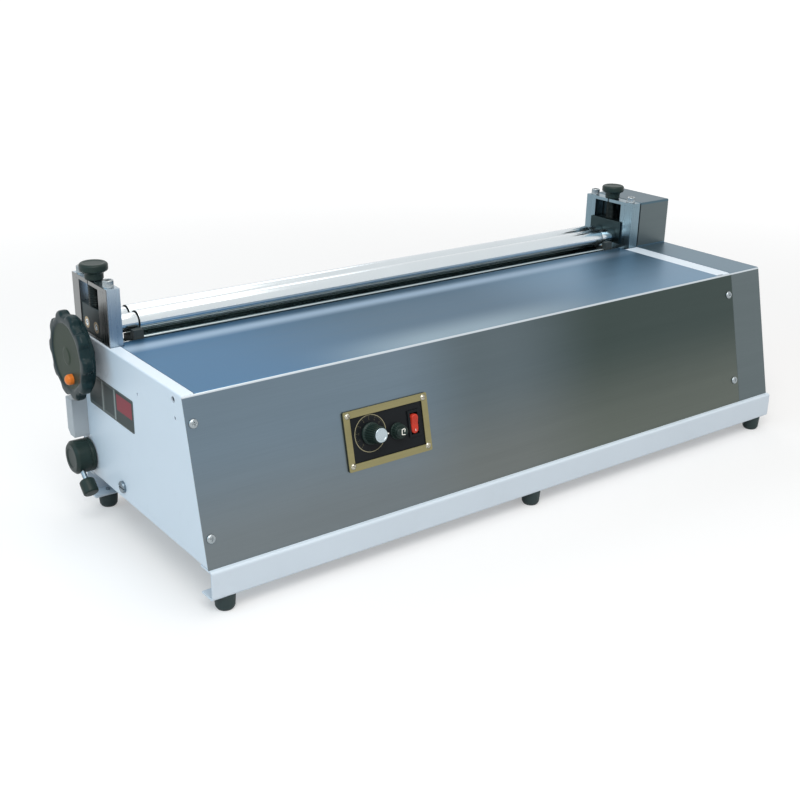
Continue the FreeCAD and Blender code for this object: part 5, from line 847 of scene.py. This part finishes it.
class GLUING_OT_cap_screws(bpy.types.Operator):
    """The four socket-head screws on the cap plates"""
    bl_idname = "gluing.cap_screws"
    bl_label = "Cap Screws"

    def execute(self, context):
        low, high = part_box("cap_screws")
        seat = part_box("cap_plates")[1].z
        meshes = [socket_screw_mesh("cap_screw", x, y, seat, high.z, low.z)
                  for x in (low.x + CAP_SCREW_HEAD, high.x - CAP_SCREW_HEAD)
                  for y in (low.y + CAP_SCREW_HEAD, high.y - CAP_SCREW_HEAD)]
        place("cap_screw_heads", merged_mesh("cap_screw_heads", meshes), "frame", "zinc_steel",
              "cap_screws")
        return {"FINISHED"}


def islands(node):
    """The (lowest, highest) corners of each loose solid of a CAD node, from a merged copy."""
    work = bmesh.new()
    work.from_mesh(frame["nodes"][node].data)
    bmesh.ops.remove_doubles(work, verts=work.verts, dist=1e-6)
    left = set(work.verts)
    boxes = []
    while left:
        stack = [left.pop()]
        found = []
        while stack:
            vert = stack.pop()
            found.append(vert.co.copy())
            near = {edge.other_vert(vert) for edge in vert.link_edges} & left
            left -= near
            stack.extend(near)
        points = np.array(found)
        boxes.append((Vector(points.min(0)), Vector(points.max(0))))
    work.free()
    return sorted(boxes, key=lambda pair: tuple(round(v, 6) for v in pair[0]))


def pan_screw_mesh(name, spot, turn):
    """Turned about the spot's axis: h(r) is a flattened dome, less a recess where
    |x| or |y| is under half the cross's width, smoothed at its edge."""
    head, shank, depth = 5.2 * MM, 1.9 * MM, 8.0 * MM
    cross_half, cross_reach, cross_depth = 0.5 * MM, 2.3 * MM, 1.4 * MM
    r = np.concatenate([np.linspace(0, 3.0 * MM, 24), np.linspace(3.2 * MM, head, 10)])
    share = r / head
    dome = PAN_HEIGHT * (1 - share ** 2 * 0.5) * np.clip((1 - share ** 9), 0, 1) ** 0.5
    rows = [(z, v, 1) for z, v in zip(dome, r)]
    rows += [(0, head, 0), (0, shank, 0), (-depth, shank, 0), (-depth, 0, 0)]

    def crossed(rows, angle, along, r):
        x = np.abs(r * np.cos(angle + turn))
        y = np.abs(r * np.sin(angle + turn))
        spare = cross_reach - cross_half
        near = np.minimum(np.maximum(x, y - spare), np.maximum(y, x - spare))
        mask = np.clip((cross_half * 1.25 - near) / (cross_half * 0.5), 0, 1)
        fall = cross_depth * (1 - 0.5 * np.clip(np.maximum(x, y) / cross_reach, 0, 1))
        return along - rows[:, 2:3] * mask * fall, r

    return turned_mesh(name, rows, spot, 72, crossed, 40.0)


class GLUING_OT_cover_screws(bpy.types.Operator):
    """The pan-head screws of all covers, each with a cross recess at its own angle"""
    bl_idname = "gluing.cover_screws"
    bl_label = "Cover Screws"

    def execute(self, context):
        meshes = []
        slope_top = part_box("front_cover")[0].y + 60 * MM
        right_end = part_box("end_cover")[1].x
        screw_length = 8.0 * MM
        for index, (low, high) in enumerate(islands("cover_screws")):
            centre = (low + high) / 2
            if high.x > right_end + 1 * MM:
                spot = Spot((right_end, centre.y, centre.z), AXIS_X, AXIS_Y)
            elif centre.y < slope_top:
                # The head is at the outer end of the tilted box.
                spot = slope_spot(centre, (screw_length - PAN_HEIGHT) / 2)
            else:
                spot = Spot((centre.x, high.y - PAN_HEIGHT, centre.z), AXIS_Y, AXIS_Z)
            meshes.append(pan_screw_mesh("pan_screw", spot, 0.4 + 1.1 * index))
        place("cover_screw_heads", merged_mesh("cover_screw_heads", meshes), "frame", "zinc_steel",
              "cover_screws")
        return {"FINISHED"}


# Control panel

PANEL_FACE = 1.0 * MM
KNOB_GAP = 1.3 * MM
ROCKER_TILT = math.radians(7.0)


def slope_spot(point, height):
    """A spot over a point of the slanted sheet, at a height off the sheet."""
    return Spot(Vector(point) + SLOPE_OUT * height, SLOPE_OUT, AXIS_X)


def bars_mesh(name, spot, centres, angles, width, lengths, low, high):
    """Flat bars of one width laid about a spot, each turned by its own angle."""
    meshes = []
    for (x, y), angle, size in zip(centres, angles, lengths):
        own = Spot(spot.points(0.0, x, y), spot.along,
                   spot.across * math.cos(angle) + spot.third * math.sin(angle))
        meshes.append(slab_mesh(name, own, (0, 0), (size, width), low, high, width * 0.3))
    return merged_mesh(name, meshes)


def text_mesh(name, words, spot, x, y, size, height):
    """Flat numbers with their middle at (x, y) of the spot, standing up by a height."""
    curve = bpy.data.curves.new(name, "FONT")
    curve.body = words
    curve.size = size
    curve.align_x = "CENTER"
    curve.align_y = "CENTER"
    curve.extrude = height / 2
    curve.resolution_u = 4
    holder = bpy.data.objects.new(name, curve)
    bpy.context.scene.collection.objects.link(holder)
    depsgraph = bpy.context.evaluated_depsgraph_get()
    mesh = bpy.data.meshes.new_from_object(holder.evaluated_get(depsgraph))
    bpy.data.objects.remove(holder)
    bpy.data.curves.remove(curve)
    across, third, along = (Vector(v) for v in (spot.across, spot.third, spot.along))
    turn = Matrix((across, third, along)).transposed().to_4x4()
    shift = Matrix.Translation(Vector(spot.points(height / 2, x, y)))
    mesh.transform(shift @ turn)
    return mesh


class GLUING_OT_panel_dial(bpy.types.Operator):
    """The printed dial round the speed knob: ring, ticks and numbers"""
    bl_idname = "gluing.panel_dial"
    bl_label = "Dial"

    def execute(self, context):
        s = sizes()
        spot = slope_spot(JOINTS["speed_turn"]["pos_m"], PANEL_FACE)
        radius, rise = s.dial_radius, s.print_height
        inner, outer = radius - s.dial_width / 2, radius + s.dial_width / 2
        ring = [(0, inner), (rise, inner), (rise, outer), (0, outer), (0, inner)]
        mesh = turned_mesh("dial_ring", ring, spot, FINE_SEGMENTS)
        place("dial_ring", mesh, "frame", "print_tan")
        meshes = []
        start, sweep = 225.0, 270.0
        # Each kind of tick: how many steps, its place inside the ring, its width and its length.
        for steps, inset, width, size in ((10, 1.7 * MM, 0.5 * MM, 3.0 * MM),
                                          (50, 1.1 * MM, 0.22 * MM, 1.8 * MM)):
            turns = np.radians(start - sweep / steps * np.arange(steps + 1))
            places = [((radius - inset) * math.cos(a), (radius - inset) * math.sin(a))
                      for a in turns]
            meshes.append(bars_mesh("dial_ticks", spot, places, turns, width,
                                    [size] * len(turns), 0, rise))
        numbers = radius - 5.0 * MM
        for index, angle in enumerate(np.radians(start - sweep / 10 * np.arange(11))):
            meshes.append(text_mesh("dial_number", str(index), spot, numbers * math.cos(angle),
                                    numbers * math.sin(angle), 3.0 * MM, rise))
        place("dial_print", merged_mesh("dial_print", meshes), "frame", "print_faint")
        return {"FINISHED"}


class GLUING_OT_panel_screws(bpy.types.Operator):
    """The four domed screws of the panel's frame, each with a slot"""
    bl_idname = "gluing.panel_screws"
    bl_label = "Panel Screws"

    def execute(self, context):
        meshes = []
        radius, height, depth = 3.6 * MM, 2.2 * MM, 2.0 * MM
        slot_half, slot_depth = 0.55 * MM, 0.9 * MM
        seat = 1.9 * MM
        r = np.linspace(0, radius, 20)
        crown = (radius ** 2 + height ** 2) / (2 * height)
        dome = np.sqrt(crown ** 2 - r ** 2) - crown + height
        rows = [(z, v, 1) for z, v in zip(dome, r)] + [(-depth, radius * 0.5, 0), (-depth, 0, 0)]
        for index, (low, high) in enumerate(islands("panel_screws")):
            turn = 0.5 + 0.9 * index

            def slotted(rows, angle, along, r, turn=turn):
                across = np.abs(r * np.sin(angle + turn))
                mask = np.clip((slot_half - across) / (0.2 * MM), 0, 1)
                return along - rows[:, 2:3] * mask * slot_depth, r

            spot = slope_spot((low + high) / 2, seat)
            meshes.append(turned_mesh("panel_screw", rows, spot, 48, slotted, 40.0))
        place("panel_screw_heads", merged_mesh("panel_screw_heads", meshes), "frame", "dome_screw",
              "panel_screws")
        return {"FINISHED"}


def ribbed_by(depth, ribs):
    """A radius function: r - weight * depth * (1 + cos(ribs * a)), with the weight in each row."""
    def ribbed(rows, angle, along, r):
        return along, r - rows[:, 2:3] * depth * (1 + np.cos(ribs * angle))
    return ribbed


class GLUING_OT_speed_knob(bpy.types.Operator):
    """The ribbed speed knob with its turned metal cap and pale pointer"""
    bl_idname = "gluing.speed_knob"
    bl_label = "Speed Knob"

    def execute(self, context):
        spot = slope_spot(JOINTS["speed_turn"]["pos_m"], 0)
        low, top = KNOB_GAP, 21.3 * MM
        skirt, body, crown, cap_radius = 12.4 * MM, 10.8 * MM, 9.0 * MM, 7.9 * MM
        floor, cap_top = top - 0.4 * MM, top + 1.2 * MM
        # Rows are (height, r, rib weight).
        profile = [(low, 0, 0), (low, skirt - 0.2 * MM, 0), (low + 2.4 * MM, skirt, 0),
                   (low + 3.6 * MM, body + 0.2 * MM, 0.2), (low + 5 * MM, body, 1),
                   (top - 1.2 * MM, crown + 0.6 * MM, 1), (top, crown, 0.3),
                   (top, cap_radius + 0.1 * MM, 0), (floor, cap_radius, 0), (floor, 0, 0)]
        mesh = turned_mesh("speed_knob_moulded", softened(profile, 0.6 * MM), spot, 192,
                           ribbed_by(0.45 * MM, 24), 45.0)
        place("speed_knob_surface", mesh, "speed_control", "black_plastic", "speed_knob")
        recess = cap_top - 0.3 * MM
        cap = [(floor, cap_radius), (recess, cap_radius), (cap_top, cap_radius - 0.5 * MM),
               (cap_top, 6.0 * MM), (recess, 5.8 * MM), (recess, 0)]
        mesh = turned_mesh("speed_cap_turned", softened(cap, 0.25 * MM), spot)
        place("speed_cap_surface", mesh, "speed_control", "turned_aluminium", "speed_knob_cap")
        pointer = bars_mesh("speed_pointer", spot, [(8.9 * MM, -0.3 * MM)], [0.06], 1.5 * MM,
                            [3.4 * MM], top - 2.4 * MM, top - 0.1 * MM)
        place("speed_pointer_mark", pointer, "speed_control", "print_cream")
        return {"FINISHED"}


class GLUING_OT_selector_knob(bpy.types.Operator):
    """The small selector with its raised grip and pale mark"""
    bl_idname = "gluing.selector_knob"
    bl_label = "Selector"

    def execute(self, context):
        spot = slope_spot(JOINTS["selector_turn"]["pos_m"], 0)
        low, shoulder, top = KNOB_GAP, 9.3 * MM, 13.3 * MM
        skirt, crown = 9.4 * MM, 8.3 * MM
        # Rows are (height, r, rib weight).
        profile = [(low, 0, 0), (low, skirt - 0.1 * MM, 0), (low + 1.6 * MM, skirt, 0),
                   (low + 2.2 * MM, skirt - 0.5 * MM, 1), (shoulder - 0.5 * MM, crown, 1),
                   (shoulder, crown - 0.7 * MM, 0), (shoulder, 0, 0)]
        base = turned_mesh("selector_base", softened(profile, 0.5 * MM), spot, 160,
                           ribbed_by(0.3 * MM, 20), 45.0)
        grip = slab_mesh("selector_grip", spot, (0, 0), (15.2 * MM, 8.8 * MM),
                         shoulder - 0.3 * MM, top, 4.2 * MM)
        place("selector_surface", merged_mesh("selector_moulded", [base, grip]), "selector",
              "black_plastic", "selector_knob")
        # The mark's bars: middle, angle and length.
        bars = (((-1.7, -0.2), 1.45, 6.2), ((0.1, 3.0), 0.10, 4.2),
                ((0.4, -3.1), -0.15, 4.0), ((2.3, 1.3), 1.25, 3.6))
        mark = bars_mesh("selector_mark", spot, [(x * MM, y * MM) for (x, y), _, _ in bars],
                         [angle for _, angle, _ in bars], 1.05 * MM,
                         [size * MM for _, _, size in bars], top - 0.1 * MM, top + 0.15 * MM)
        place("selector_mark", mark, "selector", "print_cream")
        return {"FINISHED"}


def rocker_mesh(name, spot, half_x, half_y, floor, pivot, crest):
    """A pill seen from above: rings of the outline (c cos a, (L - c) tanh(6 sin a) + c sin a)
    shrunk to the middle, where c is half the width and L half the length. The height is
    crest + |y| tan t, rounded down by (share)^12 near the rim, and all is turned about the pivot
    by the tilt t."""
    angle = np.linspace(0, 2 * math.pi, 72, endpoint=False)
    rim_x = half_x * np.cos(angle)
    rim_y = half_x * np.sin(angle) + (half_y - half_x) * np.tanh(6 * np.sin(angle))
    flat = floor * np.ones_like(angle)
    rings = [(flat, 0 * rim_x, 0 * rim_y), (flat, rim_x, rim_y)]
    for share in np.concatenate([np.linspace(1.0, 0.86, 6), np.linspace(0.75, 0.0, 8)]):
        x, y = rim_x * share, rim_y * share
        rise = np.abs(y) * math.tan(ROCKER_TILT)
        rings.append((crest + rise - 1.3 * MM * share ** 12, x, y))
    height, x, y = np.stack(rings, axis=1)
    turned_y = y * math.cos(ROCKER_TILT) - (height - pivot) * math.sin(ROCKER_TILT)
    turned_height = pivot + y * math.sin(ROCKER_TILT) + (height - pivot) * math.cos(ROCKER_TILT)
    points = spot.points(turned_height, x, turned_y)
    return new_mesh(name, points, ring_faces(len(rings), len(angle)))


class GLUING_OT_rocker(bpy.types.Operator):
    """The red rocker button with its two dished faces and a pale mark"""
    bl_idname = "gluing.rocker"
    bl_label = "Rocker Switch"

    def execute(self, context):
        spot = slope_spot(JOINTS["rocker_press"]["pos_m"], 0)
        low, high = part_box("rocker_button")
        half_width, half_length = (high.x - low.x) / 2 - 1.2 * MM, 11.2 * MM
        mesh = rocker_mesh("rocker_moulded", spot, half_width, half_length, floor=-2.0 * MM,
                           pivot=0.0, crest=4.6 * MM)
        place("rocker_surface", mesh, "power_rocker", "red_plastic", "rocker_button")
        mark = bars_mesh("rocker_mark", spot, [(0.0, -7.6 * MM)], [math.pi / 2], 0.8 * MM,
                         [2.6 * MM], 3.5 * MM, 4.75 * MM)
        place("rocker_mark", mark, "power_rocker", "print_cream")
        return {"FINISHED"}


class GLUING_OT_side_label(bpy.types.Operator):
    """The bare plate on the left side: grey ground, dark fields with dividing lines, red field"""
    bl_idname = "gluing.side_label"
    bl_label = "Side Label"

    def execute(self, context):
        s = sizes()
        wheel = middle("handwheel")
        # The spot's second cross direction points down, and the fields run from the front edge.
        spot = Spot((PLATE_X, wheel.y - 45.0 * MM, wheel.z - 45.5 * MM), -AXIS_X, AXIS_Y)
        front = -s.label_width / 2
        plate = slab_mesh("label_plate", spot, (0, 0), (s.label_width, s.label_height),
                          0, 0.5 * MM, 2 * MM)
        place("side_label_plate", plate, "frame", "label_ground")
        # Each field: start from the front edge, width, middle height and height, in millimetres.
        dark = [(1.5, 42.5, 0.0, 35.5), (50.5, 24.0, -0.5, 31.0), (83.0, 30.0, -0.5, 31.0)]
        lines = [(45.6, 2.2, 0.0, 35.0), (77.6, 2.2, 0.0, 35.0)]
        red = [(3.0, 38.5, -5.6, 19.0)]
        for name, fields, low, high, finish in (
                ("side_label_dark", dark, 0.45, 0.58, "label_dark"),
                ("side_label_lines", lines, 0.45, 0.62, "label_line"),
                ("side_label_field", red, 0.50, 0.68, "label_red")):
            meshes = []
            for start, width, level, height in fields:
                centre = (front + (start + width / 2) * MM, level * MM)
                meshes.append(slab_mesh(name, spot, centre, (width * MM, height * MM),
                                        low * MM, high * MM, 0.6 * MM))
            place(name, merged_mesh(name, meshes), "frame", finish)
        return {"FINISHED"}


# Lever and feet

class GLUING_OT_lever(bpy.types.Operator):
    """The tray lever: turned drum with a groove, rod and rounded grip"""
    bl_idname = "gluing.lever"
    bl_label = "Tray Lever"

    def execute(self, context):
        low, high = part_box("lever_drum")
        radius = (high.y - low.y) / 2
        outer, inner = low.x, high.x
        groove = radius - 0.8 * MM
        profile = [(outer + 1.0 * MM, 0), (outer + 1.0 * MM, radius * 0.55),
                   (outer, radius * 0.62), (outer, radius - 3.2 * MM), (outer + 3.2 * MM, radius),
                   (inner - 6.5 * MM, radius), (inner - 6.0 * MM, groove),
                   (inner - 5.0 * MM, groove), (inner - 4.5 * MM, radius),
                   (inner - 1.0 * MM, radius), (inner, radius - 1.0 * MM), (inner, 0)]
        mesh = turned_mesh("lever_drum_turned", softened(profile, 0.7 * MM),
                           along_x("lever_drum"), FINE_SEGMENTS)
        place("lever_drum_surface", mesh, "lever", "black_plastic", "lever_drum")
        grip = middle("lever_knob")
        pivot = Vector(JOINTS["lever_turn"]["pos_m"])
        way = Vector((0, grip.y - pivot.y, grip.z - pivot.z)).normalized()
        half, radius = 9.0 * MM, 9.0 * MM
        profile = [(-half, 0), (-half, radius - 1.8 * MM), (-half + 1.6 * MM, radius - 0.2 * MM),
                   (-half + 5 * MM, radius), (half - 1.3 * MM, radius), (half, radius - 1.1 * MM),
                   (half, 0)]
        mesh = turned_mesh("lever_grip_moulded", softened(profile, 0.9 * MM),
                           Spot(grip, way, AXIS_X))
        place("lever_grip_surface", mesh, "lever", "black_plastic", "lever_knob")
        low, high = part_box("lever_rod")
        reach = math.hypot(high.y - low.y, high.z - low.z) / 2 - 2.2 * MM
        radius = 3.0 * MM
        profile = [(-reach, 0), (-reach, radius), (reach, radius), (reach, 0)]
        mesh = turned_mesh("lever_rod_turned", softened(profile, 0.3 * MM),
                           Spot(middle("lever_rod"), way, AXIS_X), 48)
        place("lever_rod_surface", mesh, "lever", "slotted_steel", "lever_rod")
        return {"FINISHED"}


class GLUING_OT_feet(bpy.types.Operator):
    """The six moulded rubber feet"""
    bl_idname = "gluing.feet"
    bl_label = "Rubber Feet"

    def execute(self, context):
        meshes = []
        hollow, hollow_radius = 7.9 * MM, 5.3 * MM
        for low, high in islands("rubber_feet"):
            radius, top = (high.x - low.x) / 2, high.z
            profile = [(hollow, 0), (hollow, hollow_radius), (0, hollow_radius + 0.3 * MM),
                       (0, radius - 3.0 * MM), (3.4 * MM, radius - 0.9 * MM),
                       (top - 4.2 * MM, radius - 0.2 * MM), (top - 3.2 * MM, radius),
                       (top - 0.4 * MM, radius), (top, radius - 0.5 * MM), (top, 0)]
            meshes.append(turned_mesh("rubber_foot", softened(profile, 1.1 * MM),
                                      along_z((low + high) / 2), 64))
        place("rubber_feet_surface", merged_mesh("rubber_feet_moulded", meshes), "frame", "rubber",
              "rubber_feet")
        return {"FINISHED"}


# Finishes of the remaining nodes, and the stage

class GLUING_OT_finishes(bpy.types.Operator):
    """Gives every CAD node that still shows its finish"""
    bl_idname = "gluing.finishes"
    bl_label = "Finishes"

    def execute(self, context):
        own = {"doctor_blade": "blade_steel", "frame_screws": "frame_screw",
               "glue_tray": "tray_steel", "tie_bar_screws": "slotted_steel",
               "rocker_housing": "panel_black", "slide_blocks": "block_black"}
        for name, node in frame["nodes"].items():
            finish = finish_for(own.get(name, SLOTS[name]))
            if not node.material_slots:
                node.data.materials.append(finish)
            for slot in node.material_slots:
                slot.material = finish
        return {"FINISHED"}


CAMERA_PLACE = Vector((-0.9101, -1.10215, 0.6517))
VIEW_FORWARD = Vector((0.5618, 0.7420, -0.3659))
VIEW_RIGHT = Vector((0.8015, -0.5978, 0.0184))
LENS_MM = 53.6
LAMP_TARGET = Vector((0, 0, 0.12))


def backdrop(tree, strength_socket, plain, seen):
    """Strength: plain for soft light, seen for rays from the camera or off metal and glass."""
    path = tree.nodes.new("ShaderNodeLightPath")
    total = path.outputs["Is Camera Ray"]
    for name in ("Is Glossy Ray", "Is Transmission Ray"):
        highest = tree.nodes.new("ShaderNodeMath")
        highest.operation = "MAXIMUM"
        tree.links.new(total, highest.inputs[0])
        tree.links.new(path.outputs[name], highest.inputs[1])
        total = highest.outputs[0]
    level = tree.nodes.new("ShaderNodeMapRange")
    level.inputs["To Min"].default_value = plain
    level.inputs["To Max"].default_value = seen
    tree.links.new(total, level.inputs["Value"])
    tree.links.new(level.outputs[0], strength_socket)


def softbox(name, place_at, width, height, power, tint=(1.0, 1.0, 1.0)):
    """A rectangular area lamp that looks at the machine."""
    lamp = bpy.data.lights.new(name, "AREA")
    lamp.shape = "RECTANGLE"
    lamp.size, lamp.size_y = width, height
    lamp.energy = power
    lamp.color = tint
    holder = bpy.data.objects.new(name, lamp)
    holder.location = place_at
    holder.rotation_mode = "QUATERNION"
    holder.rotation_quaternion = (LAMP_TARGET - Vector(place_at)).to_track_quat("-Z", "Y")
    bpy.context.scene.collection.objects.link(holder)


def add_floor(scene):
    """A wide pale floor that brightens to white away from the machine."""
    reach = 40.0
    corners = [(-reach, -reach, 0), (reach, -reach, 0), (reach, reach, 0), (-reach, reach, 0)]
    mesh = bpy.data.meshes.new("floor")
    mesh.from_pydata(corners, [], [(0, 1, 2, 3)])
    floor = bpy.data.objects.new("floor", mesh)
    scene.collection.objects.link(floor)
    finish = Finish("pale_floor", Metallic=0.0, Roughness=0.9, Base_Color=(0.62, 0.625, 0.63),
                    Specular_IOR_Level=0.0)
    distance = finish.node("ShaderNodeVectorMath", {"operation": "LENGTH"}, {0: finish.coords()}, 1)
    glow = finish.mix(distance.above(0.7, 2.6), (0.34, 0.34, 0.34), (0.85, 0.85, 0.85))
    finish.feed("Emission Color", glow)
    backdrop(finish.tree, finish.shader.inputs["Emission Strength"], 0.0, 1.0)
    mesh.materials.append(finish.material)


def add_camera(scene):
    """The camera, where the photograph's straight edges put it."""
    camera = bpy.data.objects.new("camera", bpy.data.cameras.new("camera"))
    camera.data.lens = LENS_MM
    camera.data.sensor_width = 36.0
    forward = VIEW_FORWARD.normalized()
    right = (VIEW_RIGHT - forward * VIEW_RIGHT.dot(forward)).normalized()
    turn = Matrix((right, right.cross(forward), -forward)).transposed()
    camera.matrix_world = Matrix.Translation(CAMERA_PLACE) @ turn.to_4x4()
    scene.collection.objects.link(camera)
    scene.camera = camera


class GLUING_OT_stage(bpy.types.Operator):
    """The pale floor, soft lamps, the world and the camera"""
    bl_idname = "gluing.stage"
    bl_label = "Stage"

    def execute(self, context):
        scene = context.scene
        add_floor(scene)
        world = bpy.data.worlds.new("studio")
        world.use_nodes = True
        scene.world = world
        background = world.node_tree.nodes["Background"]
        background.inputs["Color"].default_value = (1.0, 1.0, 1.0, 1.0)
        backdrop(world.node_tree, background.inputs["Strength"], 0.42, 1.0)
        softbox("key", (-1.1, -1.6, 2.6), 2.2, 1.6, 58.0, (1.0, 0.99, 0.97))
        softbox("fill", (-2.4, 0.2, 1.3), 1.6, 1.6, 12.0, (0.40, 0.77, 1.0))
        softbox("top", (0.3, 0.0, 3.0), 2.4, 1.2, 17.0, (1.0, 0.93, 0.86))
        softbox("back", (0.6, 2.2, 2.6), 2.4, 1.4, 12.0)
        add_camera(scene)
        scene.view_settings.view_transform = "Standard"
        return {"FINISHED"}


OPERATORS = (GLUING_OT_press_rollers, GLUING_OT_glue_roller, GLUING_OT_hand_wheel,
             GLUING_OT_adjusters, GLUING_OT_cap_screws, GLUING_OT_cover_screws,
             GLUING_OT_panel_dial, GLUING_OT_panel_screws, GLUING_OT_speed_knob,
             GLUING_OT_selector_knob, GLUING_OT_rocker, GLUING_OT_side_label, GLUING_OT_lever,
             GLUING_OT_feet, GLUING_OT_finishes, GLUING_OT_stage)


class GLUING_PT_sidebar(bpy.types.Panel):
    """Lists the machine's pieces, sizes and colours"""
    bl_idname = "GLUING_PT_sidebar"
    bl_label = "Gluing Machine"
    bl_space_type = "VIEW_3D"
    bl_region_type = "UI"
    bl_category = "Gluing Machine"

    def draw(self, context):
        column = self.layout.column()
        for operator in OPERATORS:
            column.operator(operator.bl_idname)
        for group in (context.scene.gluing_sizes, context.scene.gluing_colours):
            for name in group.__annotations__:
                column.prop(group, name)


CLASSES = (GluingSizes, GluingColours, *OPERATORS, GLUING_PT_sidebar)


def register():
    """Registers the classes and their settings."""
    for item in CLASSES:
        bpy.utils.register_class(item)
    bpy.types.Scene.gluing_sizes = bpy.props.PointerProperty(type=GluingSizes)
    bpy.types.Scene.gluing_colours = bpy.props.PointerProperty(type=GluingColours)


def unregister():
    """Takes the settings and classes away again."""
    del bpy.types.Scene.gluing_colours
    del bpy.types.Scene.gluing_sizes
    for item in reversed(CLASSES):
        bpy.utils.unregister_class(item)


def main():
    """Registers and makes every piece."""
    register()
    for operator in OPERATORS:
        group, name = operator.bl_idname.split(".")
        getattr(getattr(bpy.ops, group), name)()


if __name__ == "__main__":
    main()
